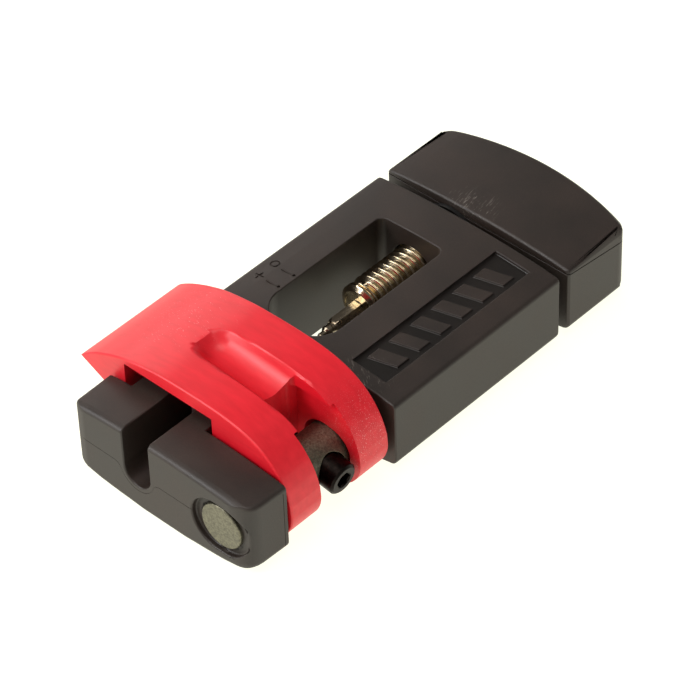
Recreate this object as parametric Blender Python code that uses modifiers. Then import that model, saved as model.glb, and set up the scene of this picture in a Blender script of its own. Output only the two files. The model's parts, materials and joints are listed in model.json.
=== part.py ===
"""Hose clamp and barb press hand tool: a slotted nose, a cam-arm clamp lever and a screw press."""
import math

import bmesh
import bpy
from mathutils import Matrix, Vector

MM = 0.001
TOOL = "hose_press_tool"

# Body moulding, millimetres. X is the width, Y the length (nose at -Y), Z up.
BODY_WIDTH = 38.6
BODY_THICK = 15.3
TOP_RISE = 1.0
TOP_FILLET = 0.8
UNDER_RISE = 1.5
UNDER_FILLET = 1.4
LAND_HALF = 4.5
BODY_LENGTH = 38.8
NOSE_FRONT_Y = -31.4
GROOVE_LENGTH = 23.1
NOSE_LEFT_INSET = 0.8
NOSE_RIGHT_INSET = 0.9
NOSE_REAR_INSET = 0.6
NOSE_EDGE = 1.0
NOSE_LEFT_CORNER = 1.5
NOSE_RIGHT_CORNER = 3.0
REAR_EDGE = 0.55
FLOOR_TOP = 4.6
FLOOR_RIGHT_X = 3.6
MIDPLANE_Z = BODY_THICK / 2
BLOCK_LENGTH = 6.6
BLOCK_LEFT_X = -13.9
BLOCK_RIGHT_X = 1.9

# Hose line, press screw and window share one axis.
PRESS_X = -5.1
HOSE_DIAMETER = 5.5
WINDOW_LEFT_X = -11.6
WINDOW_RIGHT_X = 1.8
WINDOW_FRONT_WALL = 1.7
WINDOW_REAR_WALL = 7.9
WINDOW_FRONT_ROUND = 5.3
WINDOW_REAR_ROUND = 1.4

# Raised grip bars in a shallow recess on the top face.
PANEL_WIDTH = 7.0
PANEL_SIDE_MARGIN = 4.4
PANEL_FRONT_MARGIN = 2.9
PANEL_REAR_MARGIN = 2.5
PANEL_DEPTH = 0.55
BAR_COUNT = 6
BAR_WIDTH = 2.6
BAR_RISE = 0.3
BAR_MARGIN = 1.1
BAR_SLANT = 1.6

# Pivot pin and its bushes.
PIN_INSET = 7.1
PIN_Z = 7.5
PIN_DIAMETER = 8.15
PIN_FRONT_RECESS = 0.4
PIN_REAR_Y = 7.0
PIN_RUNNING_GAP = 0.06
PIN_CHAMFER = 0.3
BUSH_WALL = 0.65
BUSH_SEAT_GAP = 0.03
BUSH_RECESS = 1.1
BUSH_END_GAP = 0.2
MOUTH_SLOT_HALF = 0.85
MOUTH_DEPTH = 1.0
PIN_BORE_DEPTH = 8.2

# Clamp lever.
LEVER_FRONT_GAP = 0.4
LEVER_REAR_GAP = 1.3
LEVER_CAM_RADIUS = 6.9
LEVER_FOOT_Z = 5.4
LEVER_BOSS_LEFT_X = -1.0
LEVER_WEB_Z = 9.3
FORK_START_X = 5.8
FORK_FRONT_Y = -16.4
FORK_REAR_Y = -7.7
FORK_LIP = 0.8
FORK_LIP_Z = 17.2
RELIEF_LEFT_X = -15.7
RELIEF_RIGHT_X = 2.9
RELIEF_TOP_Z = 17.8
RELIEF_GAP = 0.4
PIN_SLOT_TRAVEL = 0.65
DISH_RADIUS = 3.9
DISH_START_X = -5.7
DISH_START_Z = 22.0
DISH_END_Z = 18.6
DISH_Y = -12.1
TIP_OVERHANG = 6.2
TIP_OUTLINE = ((0.0, 13.75), (0.9, 14.6), (2.9, 15.9), (5.1, 17.0), (7.5, 18.0), (11.0, 19.1),
               (16.5, 19.95), (21.5, 20.2))
SHOULDER_OUTLINE = ((-10.7, 20.2), (-6.2, 19.9), (-2.6, 19.2), (0.2, 18.1), (2.6, 16.5), (4.6, 14.3),
                    (6.0, 11.8), (6.75, 9.4))
TIP_UNDERSIDE = ((9.1, 9.3), (7.0, 9.85), (4.1, 11.4), (0.4, 13.45))

# Jaw parts around the hose.
JAW_WIDTH = 7.0
JAW_SEAT_GAP = 0.05
PAD_BOTTOM_Z = 8.5
PAD_TOP_Z = 12.0
PAD_END_MARGIN = 1.6
PAD_WALL = 0.8
CRADLE_BOTTOM_Z = 1.9
CRADLE_TOP_Z = 6.8
CRADLE_END_GAP = 0.5

# Clamp adjuster: a cap screw across the pin, pulling on a nut in the lever.
ADJ_Y = -11.0
ADJ_TILT = 8.3
ADJ_SHANK_DIAMETER = 2.94
ADJ_HEAD_DIAMETER = 5.5
ADJ_HEAD_START = 2.8
ADJ_HEAD_LENGTH = 3.8
ADJ_SOCKET = 2.5
ADJ_SOCKET_DEPTH = 1.4
ADJ_SHANK_END = 12.0
ADJ_BORE_DIAMETER = 3.3
SEAT_DIAMETER = 5.9
SEAT_START = 1.4
WASHER_OUTER = 5.3
WASHER_THICK = 0.45
WASHER_GAP = 0.2
NUT_DIAMETER = 4.6
NUT_START = 7.6
NUT_LENGTH = 4.8
NUT_BORE = 3.08

# Press screw, bit and knob.
THREAD_DIAMETER = 8.0
THREAD_PITCH = 1.25
THREAD_DEPTH = 0.72
THREAD_CREST = 0.2
SCREW_FRONT_Y = 18.0
FERRULE_LENGTH = 1.6
FERRULE_CHAMFER = 0.6
FERRULE_WALL = 1.3
SCREW_TAIL_DIAMETER = 6.0
SCREW_TAIL_INSET = 0.45
SCREW_TAIL_LENGTH = 8.4
PRESS_NUT_DIAMETER = 11.4
PRESS_NUT_RECESS = 0.4
PRESS_NUT_LIP = 1.4
PRESS_LIP_GAP = 0.2
PRESS_RUNNING_GAP = 0.07
BIT_FLATS = 2.5
BIT_SOCKET_GAP = 0.06
BIT_HEX_FRONT = 6.0
BIT_HEX_REAR = 5.6
BIT_NECK_DIAMETER = 1.6
BIT_NECK_LENGTH = 1.5
BIT_TIP_DIAMETER = 1.0
BIT_TIP_LENGTH = 1.5
MAGNET_LENGTH = 1.6
KNOB_GAP = 1.95
KNOB_LENGTH = 17.3
KNOB_ARC_RISE = 2.7
KNOB_CORNER = 2.6
KNOB_SEAM_DEPTH = 5.35
KNOB_SEAM_Z = 12.85
KNOB_SEAM_SLOPE = -0.12
KNOB_SEAM_GAP = 0.12
INSERT_DIAMETER = 8.2
INSERT_RECESS = 0.9
INSERT_LENGTH = 8.4
WASHER_DIAMETER = 13.0
THRUST_THICK = 0.7
THRUST_GAP = 0.12
COVER_SCREW_DIAMETER = 2.4
COVER_SCREW_HEAD = 4.2
COVER_SCREW_HEAD_LENGTH = 1.6
COVER_SCREW_SOCKET = 1.8
COVER_SCREW_BITE = 1.2
COVER_SCREW_LEFT_INSET = 5.0
COVER_SCREW_RIGHT_INSET = 8.2
COVER_SCREW_DEPTH = 9.75
SET_SCREW_DIAMETER = 2.9
SET_SCREW_SOCKET = 1.5
SET_SCREW_DEPTH = 5.25
FIT_GAP = 0.04

HALF_WIDTH = BODY_WIDTH / 2
NOSE_LEFT_FRONT = HALF_WIDTH - NOSE_LEFT_INSET
NOSE_RIGHT_FRONT = HALF_WIDTH - NOSE_RIGHT_INSET
NOSE_LEFT_REAR = HALF_WIDTH - NOSE_REAR_INSET
NOSE_RIGHT_REAR = NOSE_LEFT_REAR
PIN_X = HALF_WIDTH - PIN_INSET
TIP_X = -HALF_WIDTH - TIP_OVERHANG
PANEL_X1 = HALF_WIDTH - PANEL_SIDE_MARGIN
PANEL_X0 = PANEL_X1 - PANEL_WIDTH
PANEL_Y0 = PANEL_FRONT_MARGIN
PANEL_Y1 = BODY_LENGTH - PANEL_REAR_MARGIN
KNOB_FRONT_Y = BODY_LENGTH + KNOB_GAP
KNOB_REAR_Y = KNOB_FRONT_Y + KNOB_LENGTH
SCREW_TAIL_START = KNOB_FRONT_Y + SCREW_TAIL_INSET
BLOCK_REAR_Y = BLOCK_LENGTH - GROOVE_LENGTH
THREAD_TURNS = int((SCREW_TAIL_START - SCREW_FRONT_Y - FERRULE_LENGTH - 0.3) / THREAD_PITCH) - 1
KNOB_SEAM_Y = KNOB_FRONT_Y + KNOB_SEAM_DEPTH
COVER_SCREW_Y = KNOB_FRONT_Y + COVER_SCREW_DEPTH
SET_SCREW_Y = KNOB_FRONT_Y + SET_SCREW_DEPTH


# Lines that round pieces are turned about, as a point and a rotation of the local Z axis.
ALONG_Y = (-math.pi / 2, 0.0, 0.0)
PIN_LINE = ((PIN_X, 0.0, PIN_Z), ALONG_Y)
PRESS_LINE = ((PRESS_X, 0.0, MIDPLANE_Z), ALONG_Y)
ADJUSTER_LINE = ((PIN_X, ADJ_Y, PIN_Z), (0.0, math.radians(90 + ADJ_TILT), 0.0))

# Drawing planes, as the rotation that carries a flat outline into them.
PLAN = (0.0, 0.0, 0.0)
FRONT = (math.pi / 2, 0.0, 0.0)
SIDE = (math.pi / 2, 0.0, math.pi / 2)


def clear_scene():
    for item in list(bpy.data.objects):
        bpy.data.objects.remove(item, do_unlink=True)


def make_collection(name, hidden=False):
    group = bpy.data.collections.new(name)
    bpy.context.scene.collection.children.link(group)
    group.hide_render = hidden
    return group


def make_material(name, colour, roughness, metallic=0.0):
    material = bpy.data.materials.new(name)
    material.use_nodes = True
    shader = material.node_tree.nodes["Principled BSDF"]
    shader.inputs["Base Color"].default_value = (*colour, 1.0)
    shader.inputs["Roughness"].default_value = roughness
    shader.inputs["Metallic"].default_value = metallic
    material.diffuse_color = (*colour, 1.0)
    return material


def add_object(name, mesh, group, material=None):
    """Link a mesh as a piece, or as a cutter when it has no material."""
    item = bpy.data.objects.new(name, mesh)
    group.objects.link(item)
    if material:
        mesh.materials.append(material)
    else:
        item.display_type = "WIRE"
        item.hide_render = True
    return item


def add_solid(name, bm, group, material=None):
    bmesh.ops.recalc_face_normals(bm, faces=bm.faces)
    mesh = bpy.data.meshes.new(name)
    bm.to_mesh(mesh)
    bm.free()
    mesh.shade_smooth()
    mesh.set_sharp_from_angle(angle=math.radians(30))
    return add_object(name, mesh, group, material)


def add_box(name, low, high, group, material=None):
    bm = bmesh.new()
    bmesh.ops.create_cube(bm, size=1.0)
    size = [(b - a) * MM for a, b in zip(low, high)]
    bmesh.ops.scale(bm, vec=size, verts=bm.verts)
    item = add_solid(name, bm, group, material)
    item.location = [(a + b) / 2 * MM for a, b in zip(low, high)]
    return item


def add_turned(name, profile, line, group, material=None, bore=None, steps=40):
    """Turn (height, radius) points, lowest first, about a line; a bore makes it a ring."""
    low, high = profile[0][0], profile[-1][0]
    inner = bore or 0.0
    outline = [(high, inner)] + list(reversed(profile)) + [(low, inner)]
    mesh = bpy.data.meshes.new(name)
    edges = [(i, i + 1) for i in range(len(outline) - 1)]
    if bore:
        edges.append((len(outline) - 1, 0))
    mesh.from_pydata([(radius * MM, 0.0, height * MM) for height, radius in outline], edges, [])
    item = add_object(name, mesh, group, material)
    item.location = Vector(line[0]) * MM
    item.rotation_euler = line[1]
    screw = item.modifiers.new("turned", "SCREW")
    screw.steps = screw.render_steps = steps
    screw.use_merge_vertices = True
    screw.merge_threshold = 1e-6
    return item


def add_outline(name, points, span, plane, group, material=None):
    """Flat outline in a drawing plane, thickened over a span of world distance along its normal."""
    curve = bpy.data.curves.new(name, "CURVE")
    curve.dimensions = "2D"
    curve.fill_mode = "BOTH"
    curve.extrude = (span[1] - span[0]) / 2 * MM
    spline = curve.splines.new("POLY")
    spline.points.add(len(points) - 1)
    for point, (across, up) in zip(spline.points, points):
        point.co = (across * MM, up * MM, 0.0, 1.0)
    spline.use_cyclic_u = True
    drawn = bpy.data.objects.new(name + "_outline", curve)
    group.objects.link(drawn)
    evaluated = drawn.evaluated_get(bpy.context.evaluated_depsgraph_get())
    mesh = bpy.data.meshes.new_from_object(evaluated)
    bpy.data.objects.remove(drawn, do_unlink=True)
    bm = bmesh.new()
    bm.from_mesh(mesh)
    bmesh.ops.remove_doubles(bm, verts=bm.verts, dist=1e-6)
    item = add_solid(name, bm, group, material)
    item.rotation_euler = plane
    middle = (span[0] + span[1]) / 2 * MM
    item.location = {PLAN: (0, 0, middle), FRONT: (0, middle, 0), SIDE: (middle, 0, 0)}[plane]
    return item


def add_loft(name, sections, group, material=None):
    """Close a stack of equal-length point rings into a solid."""
    bm = bmesh.new()
    rings = [[bm.verts.new(Vector(p) * MM) for p in ring] for ring in sections]
    count = len(rings[0])
    for lower, upper in zip(rings, rings[1:]):
        for i in range(count):
            j = (i + 1) % count
            bm.faces.new((lower[i], lower[j], upper[j], upper[i]))
    bm.faces.new(rings[0])
    bm.faces.new(list(reversed(rings[-1])))
    return add_solid(name, bm, group, material)


def boolean(target, other, operation="DIFFERENCE"):
    modifier = target.modifiers.new(other.name, "BOOLEAN")
    modifier.operation = operation
    modifier.solver = "EXACT"
    modifier.object = other


def add_pivot(name, line, group, items):
    """Empty on a joint's axis that carries the pieces moving about it."""
    pivot = bpy.data.objects.new(name, None)
    pivot.empty_display_size = 5 * MM
    pivot.location = Vector(line[0]) * MM
    pivot.rotation_euler = line[1]
    group.objects.link(pivot)
    for item in items:
        item.parent = pivot
        item.matrix_parent_inverse = pivot.matrix_basis.inverted()


def arc(cx, cy, radius, start, end, steps):
    angles = [math.radians(start + (end - start) * i / steps) for i in range(steps + 1)]
    return [(cx + radius * math.cos(angle), cy + radius * math.sin(angle)) for angle in angles]


def stadium(cx, cz, radius, half, tilt=0.0, steps=16):
    """Round-ended slot outline, lengthened along a tilted line."""
    dx, dz = half * math.cos(math.radians(tilt)), half * math.sin(math.radians(tilt))
    return (arc(cx + dx, cz + dz, radius, tilt - 90, tilt + 90, steps)
            + arc(cx - dx, cz - dz, radius, tilt + 90, tilt + 270, steps))


def smooth_line(points, steps):
    """Catmull-Rom points through the given outline."""
    result = []
    for i in range(len(points) - 1):
        p0 = points[max(i - 1, 0)]
        p1, p2 = points[i], points[i + 1]
        p3 = points[min(i + 2, len(points) - 1)]
        for s in range(steps):
            t = s / steps
            result.append(tuple(0.5 * ((2 * b) + (c - a) * t + (2 * a - 5 * b + 4 * c - d) * t * t
                                       + (3 * b - a - 3 * c + d) * t * t * t)
                                for a, b, c, d in zip(p0, p1, p2, p3)))
    result.append(points[-1])
    return result


def crown(x, rise):
    """Height lost to a bowed face at a distance from the middle, when it loses rise at the sides."""
    return rise * (x / HALF_WIDTH) ** 2


def top_height(x):
    return BODY_THICK - crown(x, TOP_RISE)


def under_height(x):
    return crown(x, UNDER_RISE) if abs(x) > LAND_HALF + 0.01 else 0.0


def section(left, right, inset=0.0, arc_steps=12, corner_steps=4):
    """Crowned, rounded body outline in X and Z, from -left to +right, with a flat land below."""
    low_x, high_x = -left + inset, right - inset
    upper, lower = max(TOP_FILLET - inset * 0.3, 0.3), max(UNDER_FILLET - inset * 0.4, 0.3)
    high_right = (high_x - upper, top_height(high_x) - inset - upper)
    high_left = (low_x + upper, top_height(low_x) - inset - upper)
    low_left = (low_x + lower, under_height(low_x) + inset + lower)
    low_right = (high_x - lower, under_height(high_x) + inset + lower)
    points = arc(*high_right, upper, 0, 90, corner_steps)
    for i in range(1, arc_steps):
        x = high_right[0] + (high_left[0] - high_right[0]) * i / arc_steps
        points.append((x, top_height(x) - inset))
    points += arc(*high_left, upper, 90, 180, corner_steps)
    points += arc(*low_left, lower, 180, 270, corner_steps)
    outer = [low_left[0] + (-LAND_HALF - low_left[0]) * i / 4 for i in range(1, 5)]
    outer += [LAND_HALF + (low_right[0] - LAND_HALF) * i / 4 for i in range(4)]
    points += [(x, under_height(x) + inset) for x in outer]
    points += arc(*low_right, lower, 270, 360, corner_steps)
    return points


def rounding(depth, radius):
    """How far a rounded edge of this radius stands in, at a depth behind its end face."""
    left = max(radius - depth, 0.0)
    return radius - math.sqrt(radius * radius - left * left)


def body_sections():
    """Body outlines from the nose's front face to the rear face."""
    taper = -GROOVE_LENGTH - NOSE_FRONT_Y
    rows = []
    for depth in (0.0, 0.12, 0.4, NOSE_EDGE, NOSE_LEFT_CORNER, NOSE_RIGHT_CORNER):
        share = depth / taper
        left = NOSE_LEFT_FRONT + (NOSE_LEFT_REAR - NOSE_LEFT_FRONT) * share
        right = NOSE_RIGHT_FRONT + (NOSE_RIGHT_REAR - NOSE_RIGHT_FRONT) * share
        rows.append((NOSE_FRONT_Y + depth, left - rounding(depth, NOSE_LEFT_CORNER),
                     right - rounding(depth, NOSE_RIGHT_CORNER), rounding(depth, NOSE_EDGE)))
    rows.append((-GROOVE_LENGTH, NOSE_LEFT_REAR, NOSE_RIGHT_REAR, 0.0))
    rows.append((0.0, HALF_WIDTH, HALF_WIDTH, 0.0))
    for depth in (REAR_EDGE, REAR_EDGE * 0.3, 0.0):
        rows.append((BODY_LENGTH - depth, HALF_WIDTH, HALF_WIDTH, rounding(depth, REAR_EDGE)))
    return [[(x, y, z) for x, z in section(left, right, inset)] for y, left, right, inset in rows]


def hose_slot_outline(radius, top):
    low = arc(PRESS_X, MIDPLANE_Z, radius, 180, 360, 14)
    return low + [(PRESS_X + radius, top), (PRESS_X - radius, top)]


def window_outline():
    front = WINDOW_FRONT_WALL
    rear = BODY_LENGTH - WINDOW_REAR_WALL
    fr, rr = WINDOW_FRONT_ROUND, WINDOW_REAR_ROUND
    return (arc(WINDOW_LEFT_X + fr, front + fr, fr, 180, 270, 8)
            + arc(WINDOW_RIGHT_X - fr, front + fr, fr, 270, 360, 8)
            + arc(WINDOW_RIGHT_X - rr, rear - rr, rr, 0, 90, 4)
            + arc(WINDOW_LEFT_X + rr, rear - rr, rr, 90, 180, 4))


def panel_floor(x):
    return top_height(x) - PANEL_DEPTH


def panel_outline():
    top = BODY_THICK + 2
    return ((PANEL_X0, panel_floor(PANEL_X0)), (PANEL_X1, panel_floor(PANEL_X1)),
            (PANEL_X1, top), (PANEL_X0, top))


def add_grip_bars(group):
    """Slanted bars standing on the panel floor, tilted to its slope."""
    half = PANEL_WIDTH / 2 - BAR_MARGIN
    middle = (PANEL_X0 + PANEL_X1) / 2
    pitch = (PANEL_Y1 - PANEL_Y0 - 2 * BAR_MARGIN - BAR_SLANT) / BAR_COUNT
    start = PANEL_Y0 + BAR_MARGIN + (pitch - BAR_WIDTH) / 2
    corners = ((-half, 0), (half, BAR_SLANT), (half, BAR_SLANT + BAR_WIDTH), (-half, BAR_WIDTH))
    bars = add_outline("grip_bars", corners, (-BAR_RISE, BAR_RISE), PLAN, group)
    bars.location = (middle * MM, start * MM, panel_floor(middle) * MM)
    slope = (panel_floor(PANEL_X0) - panel_floor(PANEL_X1)) / PANEL_WIDTH
    bars.rotation_euler = (0, math.atan(slope), 0)
    row = bars.modifiers.new("row", "ARRAY")
    row.count = BAR_COUNT
    row.use_relative_offset = False
    row.use_constant_offset = True
    row.constant_offset_displace = (0, pitch * MM, 0)
    return bars


def bush_radius():
    return PIN_DIAMETER / 2 + PIN_RUNNING_GAP + BUSH_WALL


def add_body(group, tools, material):
    body = add_loft("body_shell", body_sections(), group, material)
    wide, deep = BODY_WIDTH, 2 * BODY_THICK
    groove = ((-wide, FLOOR_TOP), (BLOCK_LEFT_X, FLOOR_TOP), (BLOCK_LEFT_X, deep), (BLOCK_RIGHT_X, deep),
              (BLOCK_RIGHT_X, FLOOR_TOP), (FLOOR_RIGHT_X, FLOOR_TOP), (FLOOR_RIGHT_X, -5), (wide, -5),
              (wide, 3 * BODY_THICK), (-wide, 3 * BODY_THICK))
    boolean(body, add_outline("lever_groove", groove, (-GROOVE_LENGTH, 0.0), FRONT, tools))
    low, high = (BLOCK_LEFT_X - 0.5, BLOCK_REAR_Y, FLOOR_TOP), (BLOCK_RIGHT_X + 0.5, 0.0, deep)
    boolean(body, add_box("block_rear", low, high, tools))
    slot = hose_slot_outline(HOSE_DIAMETER / 2, deep)
    boolean(body, add_outline("hose_slot", slot, (NOSE_FRONT_Y - 2, BLOCK_REAR_Y + 0.4), FRONT, tools))
    boolean(body, add_outline("hose_slot_rear", slot, (-1, WINDOW_FRONT_WALL + 1), FRONT, tools))
    boolean(body, add_outline("window", window_outline(), (-5, deep), PLAN, tools))
    seat = bush_radius() + BUSH_SEAT_GAP
    front = ((NOSE_FRONT_Y - 1, seat), (1 - GROOVE_LENGTH, seat))
    boolean(body, add_turned("pin_bore_front", front, PIN_LINE, tools))
    mouth = stadium(PIN_X, PIN_Z, seat, MOUTH_SLOT_HALF)
    span = (NOSE_FRONT_Y - 1, NOSE_FRONT_Y + MOUTH_DEPTH)
    boolean(body, add_outline("pin_mouth", mouth, span, FRONT, tools))
    boolean(body, add_turned("pin_bore_rear", ((-1, seat), (PIN_BORE_DEPTH, seat)), PIN_LINE, tools))
    seat = PRESS_NUT_DIAMETER / 2 + FIT_GAP
    lip, hole = THREAD_DIAMETER / 2 + PRESS_LIP_GAP, BODY_LENGTH - WINDOW_REAR_WALL
    step = hole + PRESS_NUT_LIP
    nut = ((hole - 1, lip), (step, lip), (step, seat), (BODY_LENGTH + 1, seat))
    boolean(body, add_turned("press_nut_bore", nut, PRESS_LINE, tools))
    half, margin = JAW_WIDTH / 2 + JAW_SEAT_GAP, CRADLE_END_GAP - JAW_SEAT_GAP
    low = (PRESS_X - half, BLOCK_REAR_Y + margin, CRADLE_BOTTOM_Z - JAW_SEAT_GAP)
    boolean(body, add_box("cradle_pocket", low, (PRESS_X + half, -margin, BODY_THICK), tools))
    boolean(body, add_outline("panel", panel_outline(), (PANEL_Y0, PANEL_Y1), FRONT, tools))
    boolean(body, add_grip_bars(tools), "UNION")


def add_bushes(group, material):
    outer = bush_radius()
    inner = PIN_DIAMETER / 2 + PIN_RUNNING_GAP
    front = (NOSE_FRONT_Y + BUSH_RECESS, -GROOVE_LENGTH - BUSH_END_GAP)
    rear = (BUSH_END_GAP, PIN_BORE_DEPTH - BUSH_END_GAP)
    for name, (y0, y1) in (("pin_bush_front", front), ("pin_bush_rear", rear)):
        add_turned(name, ((y0, outer), (y1, outer)), PIN_LINE, group, material, inner)


def lever_outline():
    """Side outline of the clamp lever in X and Z."""
    knots = [(TIP_X + x, z) for x, z in TIP_OUTLINE] + [(PIN_X + x, z) for x, z in SHOULDER_OUTLINE]
    top = smooth_line(knots, 3)
    foot = math.degrees(math.asin((PIN_Z - LEVER_FOOT_Z) / LEVER_CAM_RADIUS))
    cam = arc(PIN_X, PIN_Z, LEVER_CAM_RADIUS, 0, foot - 180, 22)
    under = [(LEVER_BOSS_LEFT_X, LEVER_FOOT_Z), (LEVER_BOSS_LEFT_X, LEVER_WEB_Z)]
    under += [(TIP_X + x, z) for x, z in TIP_UNDERSIDE]
    return top + cam + under


def fork_mouth_outline(far):
    """Plan of the gap between the lever's arms, narrowed by the lips at its top."""
    front, rear = FORK_FRONT_Y + FORK_LIP, FORK_REAR_Y - FORK_LIP
    left = FORK_START_X
    return [(left + 1.0, front), (far, front), (far, rear), (left + 1.0, rear), (left + 0.25, rear - 1.6),
            (left, (front + rear) / 2), (left + 0.25, front + 1.6)]


def dish_line(far):
    """Line of the thumb dish: its low round end and its direction towards the pivot."""
    start = Vector((DISH_START_X, DISH_Y, DISH_START_Z))
    end = Vector((far, DISH_Y, DISH_END_Z))
    length = (end - start).length
    return (start, (0.0, math.acos((end - start).normalized().z), 0.0)), length


def relief_rear():
    """Back of the notch that clears the block behind the nose."""
    return BLOCK_REAR_Y + RELIEF_GAP


def hose_throat_outline():
    """Clear channel for the hose under the lever's end walls."""
    radius = HOSE_DIAMETER / 2
    return [(PRESS_X - radius, 0), (PRESS_X + radius, 0)] + arc(PRESS_X, MIDPLANE_Z, radius, 0, 180, 14)


def add_lever(group, tools, material):
    y0, y1 = LEVER_FRONT_GAP - GROOVE_LENGTH, -LEVER_REAR_GAP
    through = (y0 - 1, y1 + 1)
    far = PIN_X + 3 * LEVER_CAM_RADIUS
    lever = add_outline("lever", lever_outline(), (y0, y1), FRONT, group, material)
    boolean(lever, add_outline("fork_mouth", fork_mouth_outline(far), (-10, 40), PLAN, tools))
    low = (FORK_START_X + 0.4, FORK_FRONT_Y, -10)
    boolean(lever, add_box("fork_hollow", low, (far, FORK_REAR_Y, FORK_LIP_Z), tools))
    line, length = dish_line(far)
    dome = [(height, radius) for height, radius in arc(0, 0, DISH_RADIUS, 180, 90, 7)][1:]
    boolean(lever, add_turned("thumb_dish", dome + [(length, DISH_RADIUS)], line, tools, steps=32))
    slot = stadium(PIN_X, PIN_Z, PIN_DIAMETER / 2 + PIN_RUNNING_GAP, PIN_SLOT_TRAVEL, -ADJ_TILT)
    boolean(lever, add_outline("pin_slot", slot, through, FRONT, tools))
    high = (RELIEF_RIGHT_X, relief_rear(), RELIEF_TOP_Z)
    boolean(lever, add_box("block_relief", (RELIEF_LEFT_X, y0 - 1, 0), high, tools))
    half = JAW_WIDTH / 2 + JAW_SEAT_GAP
    low = (PRESS_X - half, relief_rear() + PAD_WALL, 0)
    high = (PRESS_X + half, y1 - PAD_END_MARGIN, PAD_TOP_Z + JAW_SEAT_GAP)
    boolean(lever, add_box("pad_pocket", low, high, tools))
    boolean(lever, add_outline("hose_throat", hose_throat_outline(), through, FRONT, tools))
    hole = ((-FORK_START_X - 12, ADJ_BORE_DIAMETER / 2), (0, ADJ_BORE_DIAMETER / 2))
    boolean(lever, add_turned("adjuster_hole", hole, ADJUSTER_LINE, tools))
    seat = NUT_DIAMETER / 2 + FIT_GAP
    hole = ((-NUT_START - NUT_LENGTH - FIT_GAP, seat), (-4, seat))
    boolean(lever, add_turned("adjuster_nut_seat", hole, ADJUSTER_LINE, tools))
    return lever


def add_jaws(group, tools, pad_material, cradle_material):
    left, right = PRESS_X - JAW_WIDTH / 2, PRESS_X + JAW_WIDTH / 2
    y0 = relief_rear() + PAD_WALL + JAW_SEAT_GAP
    y1 = -LEVER_REAR_GAP - PAD_END_MARGIN - JAW_SEAT_GAP
    radius = HOSE_DIAMETER / 2
    hose = ((-2 * GROOVE_LENGTH, radius), (GROOVE_LENGTH, radius))
    channel = add_turned("hose_channel", hose, PRESS_LINE, tools)
    pad = add_box("jaw_pad", (left, y0, PAD_BOTTOM_Z), (right, y1, PAD_TOP_Z), group, pad_material)
    boolean(pad, channel)
    low, high = (left, BLOCK_REAR_Y + CRADLE_END_GAP, CRADLE_BOTTOM_Z), (right, -CRADLE_END_GAP, CRADLE_TOP_Z)
    boolean(add_box("hose_cradle", low, high, group, cradle_material), channel)
    return pad


def add_pin(group, tools, material):
    radius = PIN_DIAMETER / 2
    front = NOSE_FRONT_Y + PIN_FRONT_RECESS
    profile = ((front, radius - PIN_CHAMFER), (front + PIN_CHAMFER, radius),
               (PIN_REAR_Y - PIN_CHAMFER, radius), (PIN_REAR_Y, radius - PIN_CHAMFER))
    pin = add_turned("pivot_pin", profile, PIN_LINE, group, material, steps=48)
    hole = ((-PIN_DIAMETER, ADJ_BORE_DIAMETER / 2), (PIN_DIAMETER, ADJ_BORE_DIAMETER / 2))
    boolean(pin, add_turned("pin_cross_hole", hole, ADJUSTER_LINE, tools))
    seat = ((SEAT_START, SEAT_DIAMETER / 2), (PIN_DIAMETER, SEAT_DIAMETER / 2))
    boolean(pin, add_turned("pin_head_seat", seat, ADJUSTER_LINE, tools))
    return pin


def add_adjuster(group, tools, material):
    """Socket head cap screw, head outwards, its shank through the pin."""
    shank, head = ADJ_SHANK_DIAMETER / 2, ADJ_HEAD_DIAMETER / 2
    end = ADJ_HEAD_START + ADJ_HEAD_LENGTH
    profile = ((-ADJ_SHANK_END, shank - 0.3), (0.3 - ADJ_SHANK_END, shank), (ADJ_HEAD_START, shank),
               (ADJ_HEAD_START, head), (end - 0.35, head), (end, head - 0.35))
    screw = add_turned("adjuster_screw", profile, ADJUSTER_LINE, group, material)
    corner = ADJ_SOCKET / 2 / math.cos(math.pi / 6)
    socket = ((end - ADJ_SOCKET_DEPTH, corner), (end + 1, corner))
    boolean(screw, add_turned("adjuster_socket", socket, ADJUSTER_LINE, tools, steps=6))
    return screw


def add_spring_washers(group, material):
    bore, outer = ADJ_SHANK_DIAMETER / 2 + 0.12, WASHER_OUTER / 2
    top = ADJ_HEAD_START - WASHER_GAP / 2
    washers = []
    for number in (1, 2):
        profile = ((top - WASHER_THICK, outer), (top, outer))
        name = "spring_washer_%d" % number
        washers.append(add_turned(name, profile, ADJUSTER_LINE, group, material, bore))
        top -= WASHER_THICK + WASHER_GAP
    return washers


def add_adjuster_nut(group, material):
    profile = ((-NUT_START - NUT_LENGTH, NUT_DIAMETER / 2), (-NUT_START, NUT_DIAMETER / 2))
    return add_turned("adjuster_nut", profile, ADJUSTER_LINE, group, material, NUT_BORE / 2)


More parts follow.
